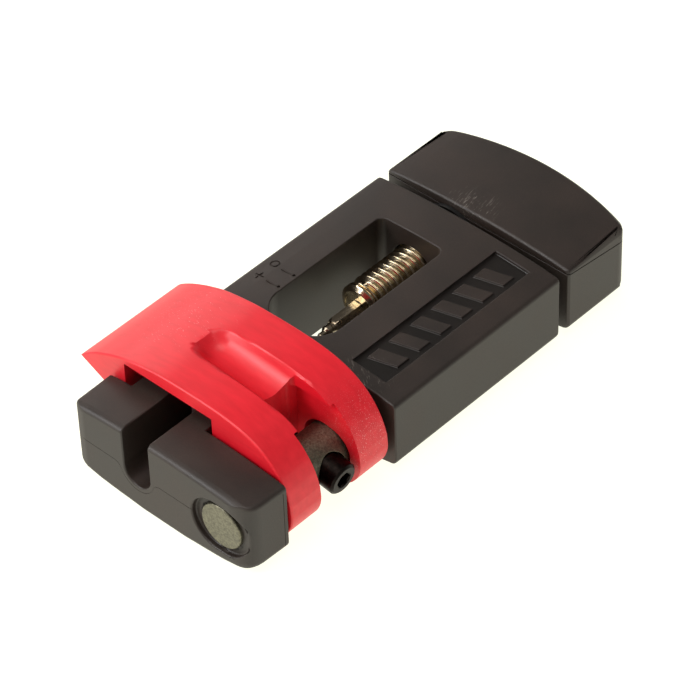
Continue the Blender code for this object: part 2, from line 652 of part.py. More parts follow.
def add_thread(name, y0, turns, group, steps=24):
    """Right-hand helical thread about the press line, closed at both ends."""
    crest = THREAD_DIAMETER / 2
    root = crest - THREAD_DEPTH
    half = THREAD_CREST / 2
    profile = ((0.0, root), (0.5 - half, crest), (0.5 + half, crest), (0.93, root))
    lift = len(profile)
    total = turns * lift + 1
    bm = bmesh.new()
    rows = []
    for k in range(total):
        share, radius = profile[k % lift]
        base = y0 + (k // lift + share) * THREAD_PITCH
        row = []
        for i in range(steps):
            angle = 2 * math.pi * i / steps
            row.append(bm.verts.new(Vector((radius * math.sin(angle), base + THREAD_PITCH * i / steps,
                                            radius * math.cos(angle))) * MM))
        rows.append(row)
    for k in range(total - 1):
        for i in range(steps - 1):
            bm.faces.new((rows[k][i], rows[k][i + 1], rows[k + 1][i + 1], rows[k + 1][i]))
        if k + lift + 1 < total:
            near, ahead = rows[k], rows[k + lift]
            bm.faces.new((near[steps - 1], ahead[0], rows[k + lift + 1][0], rows[k + 1][steps - 1]))
    last = total - 1
    front = rows[0] + [rows[k][0] for k in range(lift, 0, -1)]
    back = rows[last] + [rows[k][steps - 1] for k in range(last - 1, last - lift - 1, -1)]
    for loop, y in ((front, y0), (back, y0 + (turns + 1) * THREAD_PITCH)):
        centre = bm.verts.new((0, y * MM, 0))
        for a, b in zip(loop, loop[1:] + loop[:1]):
            bm.faces.new((a, b, centre))
    rod = add_solid(name, bm, group)
    rod.location = (PRESS_X * MM, 0, MIDPLANE_Z * MM)
    return rod


def add_press_screw(group, tools, material):
    nose = THREAD_DIAMETER / 2 - FERRULE_WALL
    start = SCREW_FRONT_Y + FERRULE_LENGTH
    root = THREAD_DIAMETER / 2 - THREAD_DEPTH - 0.02
    tail = SCREW_TAIL_DIAMETER / 2
    end = SCREW_TAIL_START + SCREW_TAIL_LENGTH
    core = ((SCREW_FRONT_Y + 0.1, nose), (start + 0.1, nose), (start + 0.1, root), (SCREW_TAIL_START, root),
            (SCREW_TAIL_START, tail), (end - 0.4, tail), (end, tail - 0.4))
    screw = add_turned("press_screw", core, PRESS_LINE, group, material, steps=24)
    boolean(screw, add_thread("thread", start + 0.2, THREAD_TURNS, tools), "UNION")
    socket = ((SCREW_FRONT_Y - 1, bit_socket_radius()), (magnet_rear() + 0.1, bit_socket_radius()))
    boolean(screw, add_turned("bit_socket", socket, PRESS_LINE, tools, steps=24))
    return screw


def bit_socket_radius():
    return BIT_FLATS / 2 / math.cos(math.pi / 6) + BIT_SOCKET_GAP


def magnet_rear():
    return SCREW_FRONT_Y + BIT_HEX_REAR + MAGNET_LENGTH + 0.3


def add_ferrule(group, material):
    """Chamfered end ring of the press screw."""
    outer = THREAD_DIAMETER / 2 - 0.05
    bore = THREAD_DIAMETER / 2 - FERRULE_WALL + FIT_GAP
    profile = ((SCREW_FRONT_Y, outer - FERRULE_CHAMFER), (SCREW_FRONT_Y + FERRULE_CHAMFER, outer),
               (SCREW_FRONT_Y + FERRULE_LENGTH, outer))
    return add_turned("screw_ferrule", profile, PRESS_LINE, group, material, bore)


def add_magnet(group, material):
    radius = bit_socket_radius() - 0.1
    profile = ((magnet_rear() - MAGNET_LENGTH, radius), (magnet_rear(), radius))
    return add_turned("bit_magnet", profile, PRESS_LINE, group, material, steps=24)


def add_press_nut(group, material):
    outer = PRESS_NUT_DIAMETER / 2
    front = BODY_LENGTH - WINDOW_REAR_WALL + PRESS_NUT_LIP + FIT_GAP
    profile = ((front, outer), (BODY_LENGTH - PRESS_NUT_RECESS, outer))
    add_turned("press_nut", profile, PRESS_LINE, group, material, THREAD_DIAMETER / 2 + PRESS_RUNNING_GAP)


def add_bit(group, tools, material):
    corner = BIT_FLATS / 2 / math.cos(math.pi / 6)
    front, rear = SCREW_FRONT_Y - BIT_HEX_FRONT, SCREW_FRONT_Y + BIT_HEX_REAR
    neck, tip = BIT_NECK_DIAMETER / 2, BIT_TIP_DIAMETER / 2
    hexagon = ((front, neck + 0.1), (front + 0.6, corner), (rear - 0.3, corner), (rear, corner - 0.3))
    bit = add_turned("drive_bit", hexagon, PRESS_LINE, group, material, steps=6)
    end = front - BIT_NECK_LENGTH
    stem = ((end - BIT_TIP_LENGTH, tip - 0.15), (end - BIT_TIP_LENGTH + 0.2, tip), (end - 0.3, tip),
            (end, neck), (front + 1, neck))
    boolean(bit, add_turned("bit_stem", stem, PRESS_LINE, tools, steps=24), "UNION")
    return bit


def knob_sections():
    rows = [(depth, rounding(depth, REAR_EDGE)) for depth in (0.0, REAR_EDGE * 0.3, REAR_EDGE)]
    rows.append((KNOB_LENGTH + 3, 0.0))
    return [[(x, KNOB_FRONT_Y + depth, z) for x, z in section(HALF_WIDTH, HALF_WIDTH, inset)]
            for depth, inset in rows]


def knob_plan_outside():
    """Plan outline of the waste round the knob's bowed rear end."""
    half = HALF_WIDTH - KNOB_CORNER * 0.35
    radius = (half * half + KNOB_ARC_RISE ** 2) / (2 * KNOB_ARC_RISE)
    centre = KNOB_REAR_Y - radius
    reach = math.degrees(math.asin((HALF_WIDTH - KNOB_CORNER) / (radius - KNOB_CORNER)))
    bow = arc(0, centre, radius, 90 - reach, 90 + reach, 16)
    cx = (radius - KNOB_CORNER) * math.sin(math.radians(reach))
    cy = centre + (radius - KNOB_CORNER) * math.cos(math.radians(reach))
    corner_right = arc(cx, cy, KNOB_CORNER, 0, 90 - reach, 6)[:-1]
    corner_left = arc(-cx, cy, KNOB_CORNER, 90 + reach, 180, 6)[1:]
    inner = [(HALF_WIDTH, cy - 0.05)] + corner_right + bow + corner_left + [(-HALF_WIDTH, cy - 0.05)]
    far = HALF_WIDTH + 5
    return inner + [(-far, cy - 0.05), (-far, KNOB_REAR_Y + 9), (far, KNOB_REAR_Y + 9), (far, cy - 0.05)]


def seam_height(y, shift=0.0):
    return KNOB_SEAM_Z + KNOB_SEAM_SLOPE * (y - KNOB_SEAM_Y) + shift


def seam_waste(upper):
    """Side outline of what is cut away above or below the knob's seam."""
    y0, y1 = KNOB_FRONT_Y - 2, KNOB_REAR_Y + 5
    edge = (KNOB_SEAM_GAP / 2) * (-1 if upper else 1)
    far = 3 * BODY_THICK if upper else -BODY_THICK
    return ((y0, seam_height(y0, edge)), (y1, seam_height(y1, edge)), (y1, far), (y0, far))


def add_knob_halves(group, tools, material):
    outside = add_outline("knob_plan", knob_plan_outside(), (-5, 2 * BODY_THICK), PLAN, tools)
    across = (-HALF_WIDTH - 5, HALF_WIDTH + 5)
    halves = []
    for name, waste in (("knob_body", seam_waste(True)), ("knob_cover", seam_waste(False))):
        half = add_loft(name, knob_sections(), group, material)
        boolean(half, outside)
        boolean(half, add_outline(name + "_waste", waste, across, SIDE, tools))
        halves.append(half)
    radius = INSERT_DIAMETER / 2 + FIT_GAP
    seat = ((KNOB_FRONT_Y - 1, radius), (KNOB_FRONT_Y + INSERT_RECESS + INSERT_LENGTH + 0.3, radius))
    boolean(halves[0], add_turned("insert_seat", seat, PRESS_LINE, tools))
    return halves


def add_insert(group, material):
    start = KNOB_FRONT_Y + INSERT_RECESS
    outer = INSERT_DIAMETER / 2
    profile = ((start, outer), (start + INSERT_LENGTH, outer))
    return add_turned("knob_insert", profile, PRESS_LINE, group, material, SCREW_TAIL_DIAMETER / 2 + FIT_GAP)


def add_thrust_washer(group, material):
    rear, outer = KNOB_FRONT_Y - THRUST_GAP, WASHER_DIAMETER / 2
    profile = ((rear - THRUST_THICK, outer), (rear, outer))
    return add_turned("thrust_washer", profile, PRESS_LINE, group, material, THREAD_DIAMETER / 2 + 0.15)


def add_cover_screws(halves, group, tools, material):
    """Screws up from the knob's underside that hold its cover on."""
    shank, head = COVER_SCREW_DIAMETER / 2, COVER_SCREW_HEAD / 2
    corner = COVER_SCREW_SOCKET / 2 / math.cos(math.pi / 6)
    top = seam_height(COVER_SCREW_Y) + COVER_SCREW_BITE
    screws = []
    places = (COVER_SCREW_LEFT_INSET - HALF_WIDTH, HALF_WIDTH - COVER_SCREW_RIGHT_INSET)
    for number, x in enumerate(places, 1):
        name = "knob_cover_screw_%d" % number
        line = ((x, COVER_SCREW_Y, 0.0), PLAN)
        face = under_height(x) + 0.5
        under = face + COVER_SCREW_HEAD_LENGTH
        profile = ((face, head), (under, head), (under, shank), (top, shank))
        screw = add_turned(name, profile, line, group, material, steps=24)
        socket = ((face - 1, corner), (face + 0.9, corner))
        boolean(screw, add_turned(name + "_socket", socket, line, tools, steps=6))
        hole = [(-5, head + FIT_GAP)] + [(z + FIT_GAP, radius + FIT_GAP) for z, radius in profile[1:]]
        hole = add_turned(name + "_hole", hole, line, tools, steps=24)
        for half in halves:
            boolean(half, hole)
        screws.append(screw)
    return screws


def add_set_screw(knob, group, tools, material):
    """Grub screw that locks the knob's insert, from below."""
    radius = SET_SCREW_DIAMETER / 2
    corner = SET_SCREW_SOCKET / 2 / math.cos(math.pi / 6)
    line = ((PRESS_X, SET_SCREW_Y, 0.0), PLAN)
    face = under_height(PRESS_X) + 0.6
    profile = ((face, radius), (MIDPLANE_Z - INSERT_DIAMETER / 2 - 0.1, radius))
    screw = add_turned("knob_set_screw", profile, line, group, material, steps=24)
    socket = ((face - 1, corner), (face + 1.0, corner))
    boolean(screw, add_turned("set_screw_socket", socket, line, tools, steps=6))
    hole = ((-5, radius + FIT_GAP), (MIDPLANE_Z, radius + FIT_GAP))
    boolean(knob, add_turned("set_screw_hole", hole, line, tools, steps=24))
    return screw


def build():
    clear_scene()
    group = make_collection(TOOL)
    tools = make_collection("cutters", hidden=True)
    black = make_material("black_nylon", (0.025, 0.024, 0.022), 0.5)
    knob_black = make_material("knob_nylon", (0.026, 0.024, 0.022), 0.5)
    red = make_material("red_nylon", (0.72, 0.02, 0.03), 0.38)
    acetal = make_material("bush_acetal", (0.012, 0.012, 0.012), 0.4)
    pin_steel = make_material("pin_steel", (0.42, 0.4, 0.34), 0.45, 1.0)
    nickel = make_material("screw_nickel", (0.62, 0.56, 0.46), 0.22, 1.0)
    bit_steel = make_material("bit_steel", (0.4, 0.36, 0.3), 0.3, 1.0)
    black_oxide = make_material("black_oxide", (0.03, 0.028, 0.028), 0.4, 1.0)
    spring_steel = make_material("spring_steel", (0.6, 0.52, 0.42), 0.25, 1.0)
    brass = make_material("brass", (0.65, 0.47, 0.2), 0.3, 1.0)
    rubber = make_material("pad_rubber", (0.03, 0.03, 0.03), 0.8)
    magnet = make_material("magnet_nickel", (0.5, 0.5, 0.5), 0.3, 1.0)
    add_body(group, tools, black)
    add_bushes(group, acetal)
    add_press_nut(group, brass)
    swinging = [add_lever(group, tools, red), add_jaws(group, tools, rubber, acetal),
                add_pin(group, tools, pin_steel), add_adjuster_nut(group, brass)]
    add_pivot("lever_pivot", PIN_LINE, group, swinging)
    turning = [add_adjuster(group, tools, black_oxide)] + add_spring_washers(group, spring_steel)
    add_pivot("adjuster_axis", ADJUSTER_LINE, group, turning)
    halves = add_knob_halves(group, tools, knob_black)
    pressing = halves + add_cover_screws(halves, group, tools, black_oxide)
    pressing += [add_press_screw(group, tools, nickel), add_ferrule(group, nickel), add_magnet(group, magnet),
                 add_insert(group, brass), add_thrust_washer(group, acetal), add_bit(group, tools, bit_steel),
                 add_set_screw(halves[0], group, tools, black_oxide)]
    add_pivot("press_axis", PRESS_LINE, group, pressing)


build()
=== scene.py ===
import json
import math

import bmesh
import bpy
from mathutils import Matrix, Vector


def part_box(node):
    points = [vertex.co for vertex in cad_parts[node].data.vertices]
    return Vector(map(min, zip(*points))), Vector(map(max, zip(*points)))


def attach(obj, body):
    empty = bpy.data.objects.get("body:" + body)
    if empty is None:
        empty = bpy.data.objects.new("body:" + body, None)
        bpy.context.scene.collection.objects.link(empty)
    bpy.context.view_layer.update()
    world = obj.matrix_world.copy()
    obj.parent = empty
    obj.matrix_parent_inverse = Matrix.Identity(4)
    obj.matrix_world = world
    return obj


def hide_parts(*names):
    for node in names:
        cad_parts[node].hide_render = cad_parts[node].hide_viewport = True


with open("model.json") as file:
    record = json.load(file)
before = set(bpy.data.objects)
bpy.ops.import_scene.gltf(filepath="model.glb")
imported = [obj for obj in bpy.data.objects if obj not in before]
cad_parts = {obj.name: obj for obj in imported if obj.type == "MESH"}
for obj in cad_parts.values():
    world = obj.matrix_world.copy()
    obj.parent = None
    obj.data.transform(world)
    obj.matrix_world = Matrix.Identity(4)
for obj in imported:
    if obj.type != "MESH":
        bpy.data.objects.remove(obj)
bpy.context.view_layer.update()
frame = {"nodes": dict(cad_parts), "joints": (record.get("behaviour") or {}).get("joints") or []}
nodes = frame["nodes"]
joints = {joint["name"]: joint for joint in frame["joints"]}
print("frame loaded:", len(nodes), "nodes")

# Everything is modelled in millimetres and brought down to metres when it is fitted.
alongY, alongZ = Vector((0, 1, 0)), Vector((0, 0, 1))


def boxOf(node):
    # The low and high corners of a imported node, in millimetres.
    low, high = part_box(node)
    return low * 1000, high * 1000


def arcPoints(cx, cy, radius, start, end, steps):
    turns = [math.radians(start + (end - start) * i / steps) for i in range(steps + 1)]
    return [(cx + radius * math.cos(a), cy + radius * math.sin(a)) for a in turns]


def smoothLine(points, steps):
    # A curve through every point.
    line = []
    for i in range(len(points) - 1):
        a, b, c, d = (points[max(i - 1, 0)], points[i], points[i + 1], points[min(i + 2, len(points) - 1)])
        for s in range(steps):
            t = s / steps
            line.append(tuple(0.5 * (2 * q + (r - p) * t + (2 * p - 5 * q + 4 * r - w) * t * t
                                     + (3 * q - p - 3 * r + w) * t ** 3) for p, q, r, w in zip(a, b, c, d)))
    return line + [points[-1]]


def newPiece(name, bm):
    bmesh.ops.recalc_face_normals(bm, faces=bm.faces)
    if bm.calc_volume(signed=True) < 0:
        bmesh.ops.reverse_faces(bm, faces=bm.faces)
    mesh = bpy.data.meshes.new(name)
    bm.to_mesh(mesh)
    bm.free()
    mesh.shade_smooth()
    piece = bpy.data.objects.new(name, mesh)
    bpy.context.scene.collection.objects.link(piece)
    return piece


def lofted(name, rings):
    bm = bmesh.new()
    rows = [[bm.verts.new(p) for p in ring] for ring in rings]
    for low, high in zip(rows, rows[1:]):
        for i in range(len(low)):
            j = (i + 1) % len(low)
            bm.faces.new((low[i], low[j], high[j], high[i]))
    bm.faces.new(rows[0])
    bm.faces.new(list(reversed(rows[-1])))
    return newPiece(name, bm)


def slab(name, points, across, low, high):
    # A flat outline thickened along one axis; its two numbers run along the other two axes.
    place = {"x": lambda u, v, w: (w, u, v), "y": lambda u, v, w: (u, w, v),
             "z": lambda u, v, w: (u, v, w)}[across]
    return lofted(name, [[place(u, v, w) for u, v in points] for w in (low, high)])


def block(name, low, high):
    outline = ((low[0], low[1]), (high[0], low[1]), (high[0], high[1]), (low[0], high[1]))
    return slab(name, outline, "z", low[2], high[2])


def turned(name, profile, centre, axis, bore=None, steps=72):
    # Height and radius pairs, lowest first, spun about a line; a bore makes it a ring.
    bm = bmesh.new()
    inner = bore or 0.0
    outline = [(profile[0][0], inner)] + list(profile) + [(profile[-1][0], inner)]
    points = [bm.verts.new((r, 0, h)) for h, r in outline]
    edges = [bm.edges.new(pair) for pair in zip(points, points[1:])]
    if bore:
        edges.append(bm.edges.new((points[-1], points[0])))
    bmesh.ops.spin(bm, geom=points + edges, cent=(0, 0, 0), axis=(0, 0, 1), angle=2 * math.pi,
                   steps=steps, use_merge=True)
    bmesh.ops.remove_doubles(bm, verts=bm.verts, dist=1e-4)
    turn = axis.to_track_quat("Z", "Y").to_matrix().to_4x4()
    bm.transform(Matrix.Translation(centre) @ turn)
    return newPiece(name, bm)


def carve(piece, tool, operation="DIFFERENCE"):
    cut = piece.modifiers.new(tool.name, "BOOLEAN")
    cut.operation = operation
    cut.solver = "EXACT"
    cut.object = tool


def bake(piece):
    # Applies the cuts and roundings and clears away the cutters.
    tools = [m.object for m in piece.modifiers if m.type == "BOOLEAN"]
    graph = bpy.context.evaluated_depsgraph_get()
    mesh = bpy.data.meshes.new_from_object(piece.evaluated_get(graph), depsgraph=graph)
    piece.modifiers.clear()
    piece.data = mesh
    for tool in tools:
        bpy.data.objects.remove(tool, do_unlink=True)


def roundEdges(piece, width, special=(), sharp=30, segments=3, tidy=0.03):
    # Rounds every sharp edge; special holds pairs: a test of an edge's middle, and its own width.
    bake(piece)
    bm = bmesh.new()
    bm.from_mesh(piece.data)
    bmesh.ops.remove_doubles(bm, verts=bm.verts, dist=tidy)
    bmesh.ops.dissolve_degenerate(bm, edges=bm.edges, dist=tidy)
    layers = bm.edges.layers.float
    weights = layers.get("bevel_weight_edge") or layers.new("bevel_weight_edge")
    widest = max([width] + [wide for test, wide in special])
    for edge in bm.edges:
        if len(edge.link_faces) == 2 and edge.calc_face_angle(0) > math.radians(sharp):
            middle = (edge.verts[0].co + edge.verts[1].co) / 2
            wide = next((w for test, w in special if test(middle)), width)
            edge[weights] = wide / widest
    bm.to_mesh(piece.data)
    bm.free()
    bevel = piece.modifiers.new("rounded edges", "BEVEL")
    bevel.limit_method = "WEIGHT"
    bevel.width = widest
    bevel.segments = segments
    bevel.use_clamp_overlap = False
    bevel.loop_slide = True
    bake(piece)


def evenShading(piece, sharp):
    # Large faces keep their own direction and only true corners stay sharp.
    bake(piece)
    piece.data.shade_smooth()
    piece.data.set_sharp_from_angle(angle=math.radians(sharp))
    weigh = piece.modifiers.new("even shading", "WEIGHTED_NORMAL")
    weigh.keep_sharp = True
    weigh.weight = 100
    bake(piece)


def fit(piece, body, material, standsFor, sharp=38):
    evenShading(piece, sharp)
    piece.data.transform(Matrix.Scale(0.001, 4))
    piece.data.materials.clear()
    piece.data.materials.append(material)
    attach(piece, body)
    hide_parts(standsFor)


def joinPieces(name, pieces):
    bm = bmesh.new()
    for piece in pieces:
        bake(piece)
        bm.from_mesh(piece.data)
        bpy.data.objects.remove(piece, do_unlink=True)
    return newPiece(name, bm)


def linear(hexColour):
    parts = [int(hexColour[i:i + 2], 16) / 255 for i in (1, 3, 5)]
    return tuple(c / 12.92 if c <= 0.04045 else ((c + 0.055) / 1.055) ** 2.4 for c in parts) + (1.0,)


def perMetre(millimetres):
    return 1000 / millimetres


def addNode(tree, kind, settings=None, links=None):
    node = tree.nodes.new(kind)
    for key, value in (settings or {}).items():
        if hasattr(node, key):
            setattr(node, key, value)
        else:
            node.inputs[key].default_value = value
    for key, source in (links or {}).items():
        tree.links.new(source, node.inputs[key])
    return node


def startMaterial(name, settings):
    material = bpy.data.materials.new(name)
    material.use_nodes = True
    tree = material.node_tree
    shader = tree.nodes["Principled BSDF"]
    for key, value in settings.items():
        shader.inputs[key].default_value = value
    place = addNode(tree, "ShaderNodeTexCoord").outputs["Object"]
    return material, tree, shader, place


def noise(tree, place, millimetres, detail, settings=None):
    return addNode(tree, "ShaderNodeTexNoise",
                   {"Scale": perMetre(millimetres), "Detail": detail, **(settings or {})},
                   {"Vector": place}).outputs["Fac"]


def addBump(tree, shader, height, strength, depth):
    bump = addNode(tree, "ShaderNodeBump", {"Strength": strength, "Distance": depth}, {"Height": height})
    tree.links.new(bump.outputs["Normal"], shader.inputs["Normal"])


def rampBetween(tree, source, low, high, start=0.0, end=1.0):
    ramp = addNode(tree, "ShaderNodeValToRGB", links={"Fac": source})
    ramp.color_ramp.elements[0].color, ramp.color_ramp.elements[1].color = low, high
    ramp.color_ramp.elements[0].position, ramp.color_ramp.elements[1].position = start, end
    return ramp.outputs["Color"]


def mixColours(tree, amount, first, second, blend="MIX"):
    mixed = addNode(tree, "ShaderNodeMix", {"data_type": "RGBA", "blend_type": blend})
    for slot, value in ((0, amount), (6, first), (7, second)):
        if isinstance(value, (int, float, tuple)):
            mixed.inputs[slot].default_value = value
        else:
            tree.links.new(value, mixed.inputs[slot])
    return mixed.outputs[2]


def nearness(tree, place, centre, radius):
    # One at a spot given in millimetres, fading to nothing at the radius.
    away = addNode(tree, "ShaderNodeVectorMath", {"operation": "DISTANCE"}, {0: place})
    away.inputs[1].default_value = Vector(centre) / 1000
    return addNode(tree, "ShaderNodeMapRange", {"From Min": radius / 1000, "From Max": 0.0},
                   {"Value": away.outputs["Value"]}).outputs["Result"]


def scratchLines(tree, place, widthMm, direction, stretch, start, end):
    # Noise drawn out along one direction and cut near its top leaves sparse thin lines.
    aimed = addNode(tree, "ShaderNodeMapping", {"Rotation": direction}, {"Vector": place})
    drawn = addNode(tree, "ShaderNodeMapping", {"Scale": (stretch, 1.0, 1.0)},
                    {"Vector": aimed.outputs["Vector"]})
    lines = noise(tree, drawn.outputs["Vector"], widthMm, 2.0, {"Roughness": 0.6})
    return addNode(tree, "ShaderNodeMapRange", {"From Min": start, "From Max": end},
                   {"Value": lines}).outputs["Result"]


def product(tree, first, second):
    both = addNode(tree, "ShaderNodeMath", {"operation": "MULTIPLY"}, {0: first, 1: second})
    return both.outputs["Value"]


# Glass-filled nylon, moulded against a spark-eroded tool: a dull warm black with a fine even grain,
# faint flow clouds, and thin pale scratches where it has been rubbed.
nylonSettings = {"deep": "#1f1712", "pale": "#2c211b", "scratch": "#8a847c", "grainMm": 0.22,
                 "cloudMm": 9.0, "scratchMm": 0.16, "grainDepth": 0.00001, "roughLow": 0.46,
                 "roughHigh": 0.58}


def makeNylon(name, settings, rubs):
    material, tree, shader, place = startMaterial(name, {"IOR": 1.53})
    s = settings
    cloud = noise(tree, place, s["cloudMm"], 4.0)
    base = rampBetween(tree, cloud, linear(s["deep"]), linear(s["pale"]), 0.3, 0.7)
    # The real grain is under a tenth of a millimetre; it is drawn twice as coarse so that it shows.
    grain = noise(tree, place, s["grainMm"], 2.0)
    speck = rampBetween(tree, grain, (0.84, 0.84, 0.84, 1), (1.16, 1.16, 1.16, 1), 0.35, 0.65)
    colour = mixColours(tree, 1.0, base, speck, "MULTIPLY")
    for centre, radius, turn in rubs:
        lines = scratchLines(tree, place, s["scratchMm"], (0, 0, math.radians(turn)), 0.08, 0.6, 0.68)
        mask = product(tree, nearness(tree, place, centre, radius), lines)
        colour = mixColours(tree, mask, colour, linear(s["scratch"]))
    tree.links.new(colour, shader.inputs["Base Color"])
    rough = addNode(tree, "ShaderNodeMapRange", {"To Min": s["roughLow"], "To Max": s["roughHigh"]},
                    {"Value": cloud})
    tree.links.new(rough.outputs["Result"], shader.inputs["Roughness"])
    addBump(tree, shader, grain, 0.6, s["grainDepth"])
    return material


# Red nylon, moulded: strong colour with a satin skin, faint streaks along the flow and pale scratches.
redSettings = {"deep": "#da0f22", "pale": "#ea1c2d", "scratch": "#f6b4b4", "streakMm": 1.2, "grainMm": 0.3,
               "grainDepth": 0.000008, "roughness": 0.42, "scratchMm": 0.14}


def makeRedNylon(armAt, topAt):
    s = redSettings
    settings = {"IOR": 1.53, "Roughness": s["roughness"]}
    material, tree, shader, place = startMaterial("redNylonMoulded", settings)
    longer = addNode(tree, "ShaderNodeMapping", {"Scale": (0.25, 1.0, 1.0)}, {"Vector": place})
    streak = noise(tree, longer.outputs["Vector"], s["streakMm"], 5.0)
    colour = rampBetween(tree, streak, linear(s["deep"]), linear(s["pale"]), 0.25, 0.75)
    rubs = ((armAt, 9.0, (0, 0.9, 0.5), 0.62), (topAt, 11.0, (0, 0, 0.25), 0.66))
    for centre, radius, turn, start in rubs:
        lines = scratchLines(tree, place, s["scratchMm"], turn, 0.05, start, start + 0.08)
        mask = product(tree, nearness(tree, place, centre, radius), lines)
        colour = mixColours(tree, mask, colour, linear(s["scratch"]))
    tree.links.new(colour, shader.inputs["Base Color"])
    addBump(tree, shader, noise(tree, place, s["grainMm"], 3.0), 0.5, s["grainDepth"])
    return material


def makeMetal(name, dark, light, patchMm, roughLow, roughHigh, depth=0.000004, stretch=(1, 1, 1)):
    material, tree, shader, place = startMaterial(name, {"Metallic": 1.0})
    longer = addNode(tree, "ShaderNodeMapping", {"Scale": stretch}, {"Vector": place})
    patch = noise(tree, longer.outputs["Vector"], patchMm, 6.0, {"Roughness": 0.65})
    colour = rampBetween(tree, patch, linear(dark), linear(light), 0.35, 0.65)
    tree.links.new(colour, shader.inputs["Base Color"])
    rough = addNode(tree, "ShaderNodeMapRange", {"To Min": roughLow, "To Max": roughHigh}, {"Value": patch})
    tree.links.new(rough.outputs["Result"], shader.inputs["Roughness"])
    addBump(tree, shader, patch, 0.5, depth)
    return material


def makePlain(name, dark, light, patchMm, roughness, depth=0.000008):
    material, tree, shader, place = startMaterial(name, {"Roughness": roughness})
    patch = noise(tree, place, patchMm, 4.0)
    colour = rampBetween(tree, patch, linear(dark), linear(light), 0.3, 0.7)
    tree.links.new(colour, shader.inputs["Base Color"])
    addBump(tree, shader, patch, 0.5, depth)
    return material


blackNylon = makeNylon("blackNylonMoulded", nylonSettings, [((11.5, 2.0, 14.8), 5.0, 35)])
# The recess floor gets its own nylon: a darker colour and a lower roughness, so it is a little shinier.
recessSettings = {**nylonSettings, "deep": "#0f0b08", "pale": "#17110d", "roughLow": 0.3, "roughHigh": 0.4}
panelNylon = makeNylon("blackNylonPolished", recessSettings, [])
knobNylon = makeNylon("knobNylonMoulded", nylonSettings, [((-2.0, 41.3, 15.0), 6.0, 80)])
redNylon = makeRedNylon((17.0, -5.0, 12.0), (-16.0, -10.0, 19.0))
# Metals, each with its dark and light colour, the size of its patches and its roughness range.
zincSteel = makeMetal("pinSteelTumbled", "#5d5a4f", "#85816f", 0.35, 0.36, 0.55)  # a soft grey mottle
nickelThread = makeMetal("threadNickelPlated", "#a8977a", "#d9cbaf", 2.0, 0.12, 0.2)  # a warm mirror shine
bitSteel = makeMetal("bitSteelGround", "#857a6a", "#b5a993", 1.0, 0.2, 0.34,
                     stretch=(1, 0.2, 1))  # drawn out along the bit
blackOxide = makeMetal("screwSteelBlackOxide", "#120f0e", "#221d1b", 0.8, 0.34, 0.5)  # an oily near-black
springSteel = makeMetal("washerSteelBright", "#b89a6c", "#ecd9b0", 0.8, 0.2, 0.3)  # a straw tint
turnedBrass = makeMetal("brassTurned", "#8f7438", "#c9aa62", 0.7, 0.25, 0.38)  # a yellow satin
acetal = makePlain("acetalMoulded", "#0e0e0e", "#191919", 3.0, 0.35)  # a smooth waxy black
rubber = makePlain("rubberMoulded", "#101010", "#1c1b1a", 0.6, 0.75)  # a flat black with no shine
print("materials made")

# Body shell: sizes shared with the pieces beside it.
bodyLow, bodyHigh = boxOf("body_shell")
pinLow, pinHigh = boxOf("pivot_pin")
adjuster = joints["adjuster_turn"]
pressAt = Vector(joints["knob_turn"]["pos_m"]) * 1000
pinAt = Vector(adjuster["pos_m"]) * 1000
adjusterAxis = Vector(adjuster["axis"])
screwLow, screwHigh = boxOf("press_screw")
screwRadius = (screwHigh.x - screwLow.x) / 2
shell = {"topRise": 1.0, "topFillet": 0.8, "underRise": 1.5, "underFillet": 1.4, "land": 4.5,
         "grooveDepth": 8.3, "noseEdge": 1.0, "leftCorner": 1.5, "rightCorner": 3.0, "noseLeftInset": 0.8,
         "noseRightInset": 0.9, "noseRearInset": 0.6, "rearEdge": 0.55, "floorTop": 4.6, "floorRight": 3.6,
         "hoseWidth": 5.5, "edgeRound": 0.3, "blockLength": 6.6, "blockLeft": -13.9, "blockRight": 1.9,
         "pinGap": 0.74, "pinMouth": 0.85, "rearBore": 8.2}
shell["grooveFront"] = bodyLow.y + shell["grooveDepth"]
shell["blockRear"] = shell["grooveFront"] + shell["blockLength"]
halfWidth = bodyHigh.x
thick = bodyHigh.z
middleZ = thick / 2


def topHeight(x):
    return thick - shell["topRise"] * (x / halfWidth) ** 2


def underHeight(x):
    return shell["underRise"] * (x / halfWidth) ** 2 if abs(x) > shell["land"] + 0.01 else 0.0


def shellSection(left, right, inset, arcSteps=14, cornerSteps=6):
    leftX, rightX = inset - left, right - inset
    upper, lower = max(shell["topFillet"] - inset * 0.3, 0.3), max(shell["underFillet"] - inset * 0.4, 0.3)
    highRight = (rightX - upper, topHeight(rightX) - inset - upper)
    highLeft = (leftX + upper, topHeight(leftX) - inset - upper)
    lowLeft = (leftX + lower, underHeight(leftX) + inset + lower)
    lowRight = (rightX - lower, underHeight(rightX) + inset + lower)
    points = arcPoints(*highRight, upper, 0, 90, cornerSteps)
    for i in range(1, arcSteps):
        x = highRight[0] + (highLeft[0] - highRight[0]) * i / arcSteps
        points.append((x, topHeight(x) - inset))
    points += arcPoints(*highLeft, upper, 90, 180, cornerSteps)
    points += arcPoints(*lowLeft, lower, 180, 270, cornerSteps)
    land = shell["land"]
    outer = [lowLeft[0] + (-land - lowLeft[0]) * i / 5 for i in range(1, 6)]
    outer += [land + (lowRight[0] - land) * i / 5 for i in range(5)]
    points += [(x, inset + underHeight(x)) for x in outer]
    return points + arcPoints(*lowRight, lower, 270, 360, cornerSteps)


def standIn(depth, radius):
    # How far a rounded edge stands in from its face at a depth.
    left = max(radius - depth, 0.0)
    return radius - math.sqrt(radius * radius - left * left)


def roundedDepths(radius, steps):
    # Depths of the rings that draw that edge, closest where it bends most.
    return [radius * (1 - math.cos(math.pi / 2 * i / steps)) for i in range(steps + 1)]


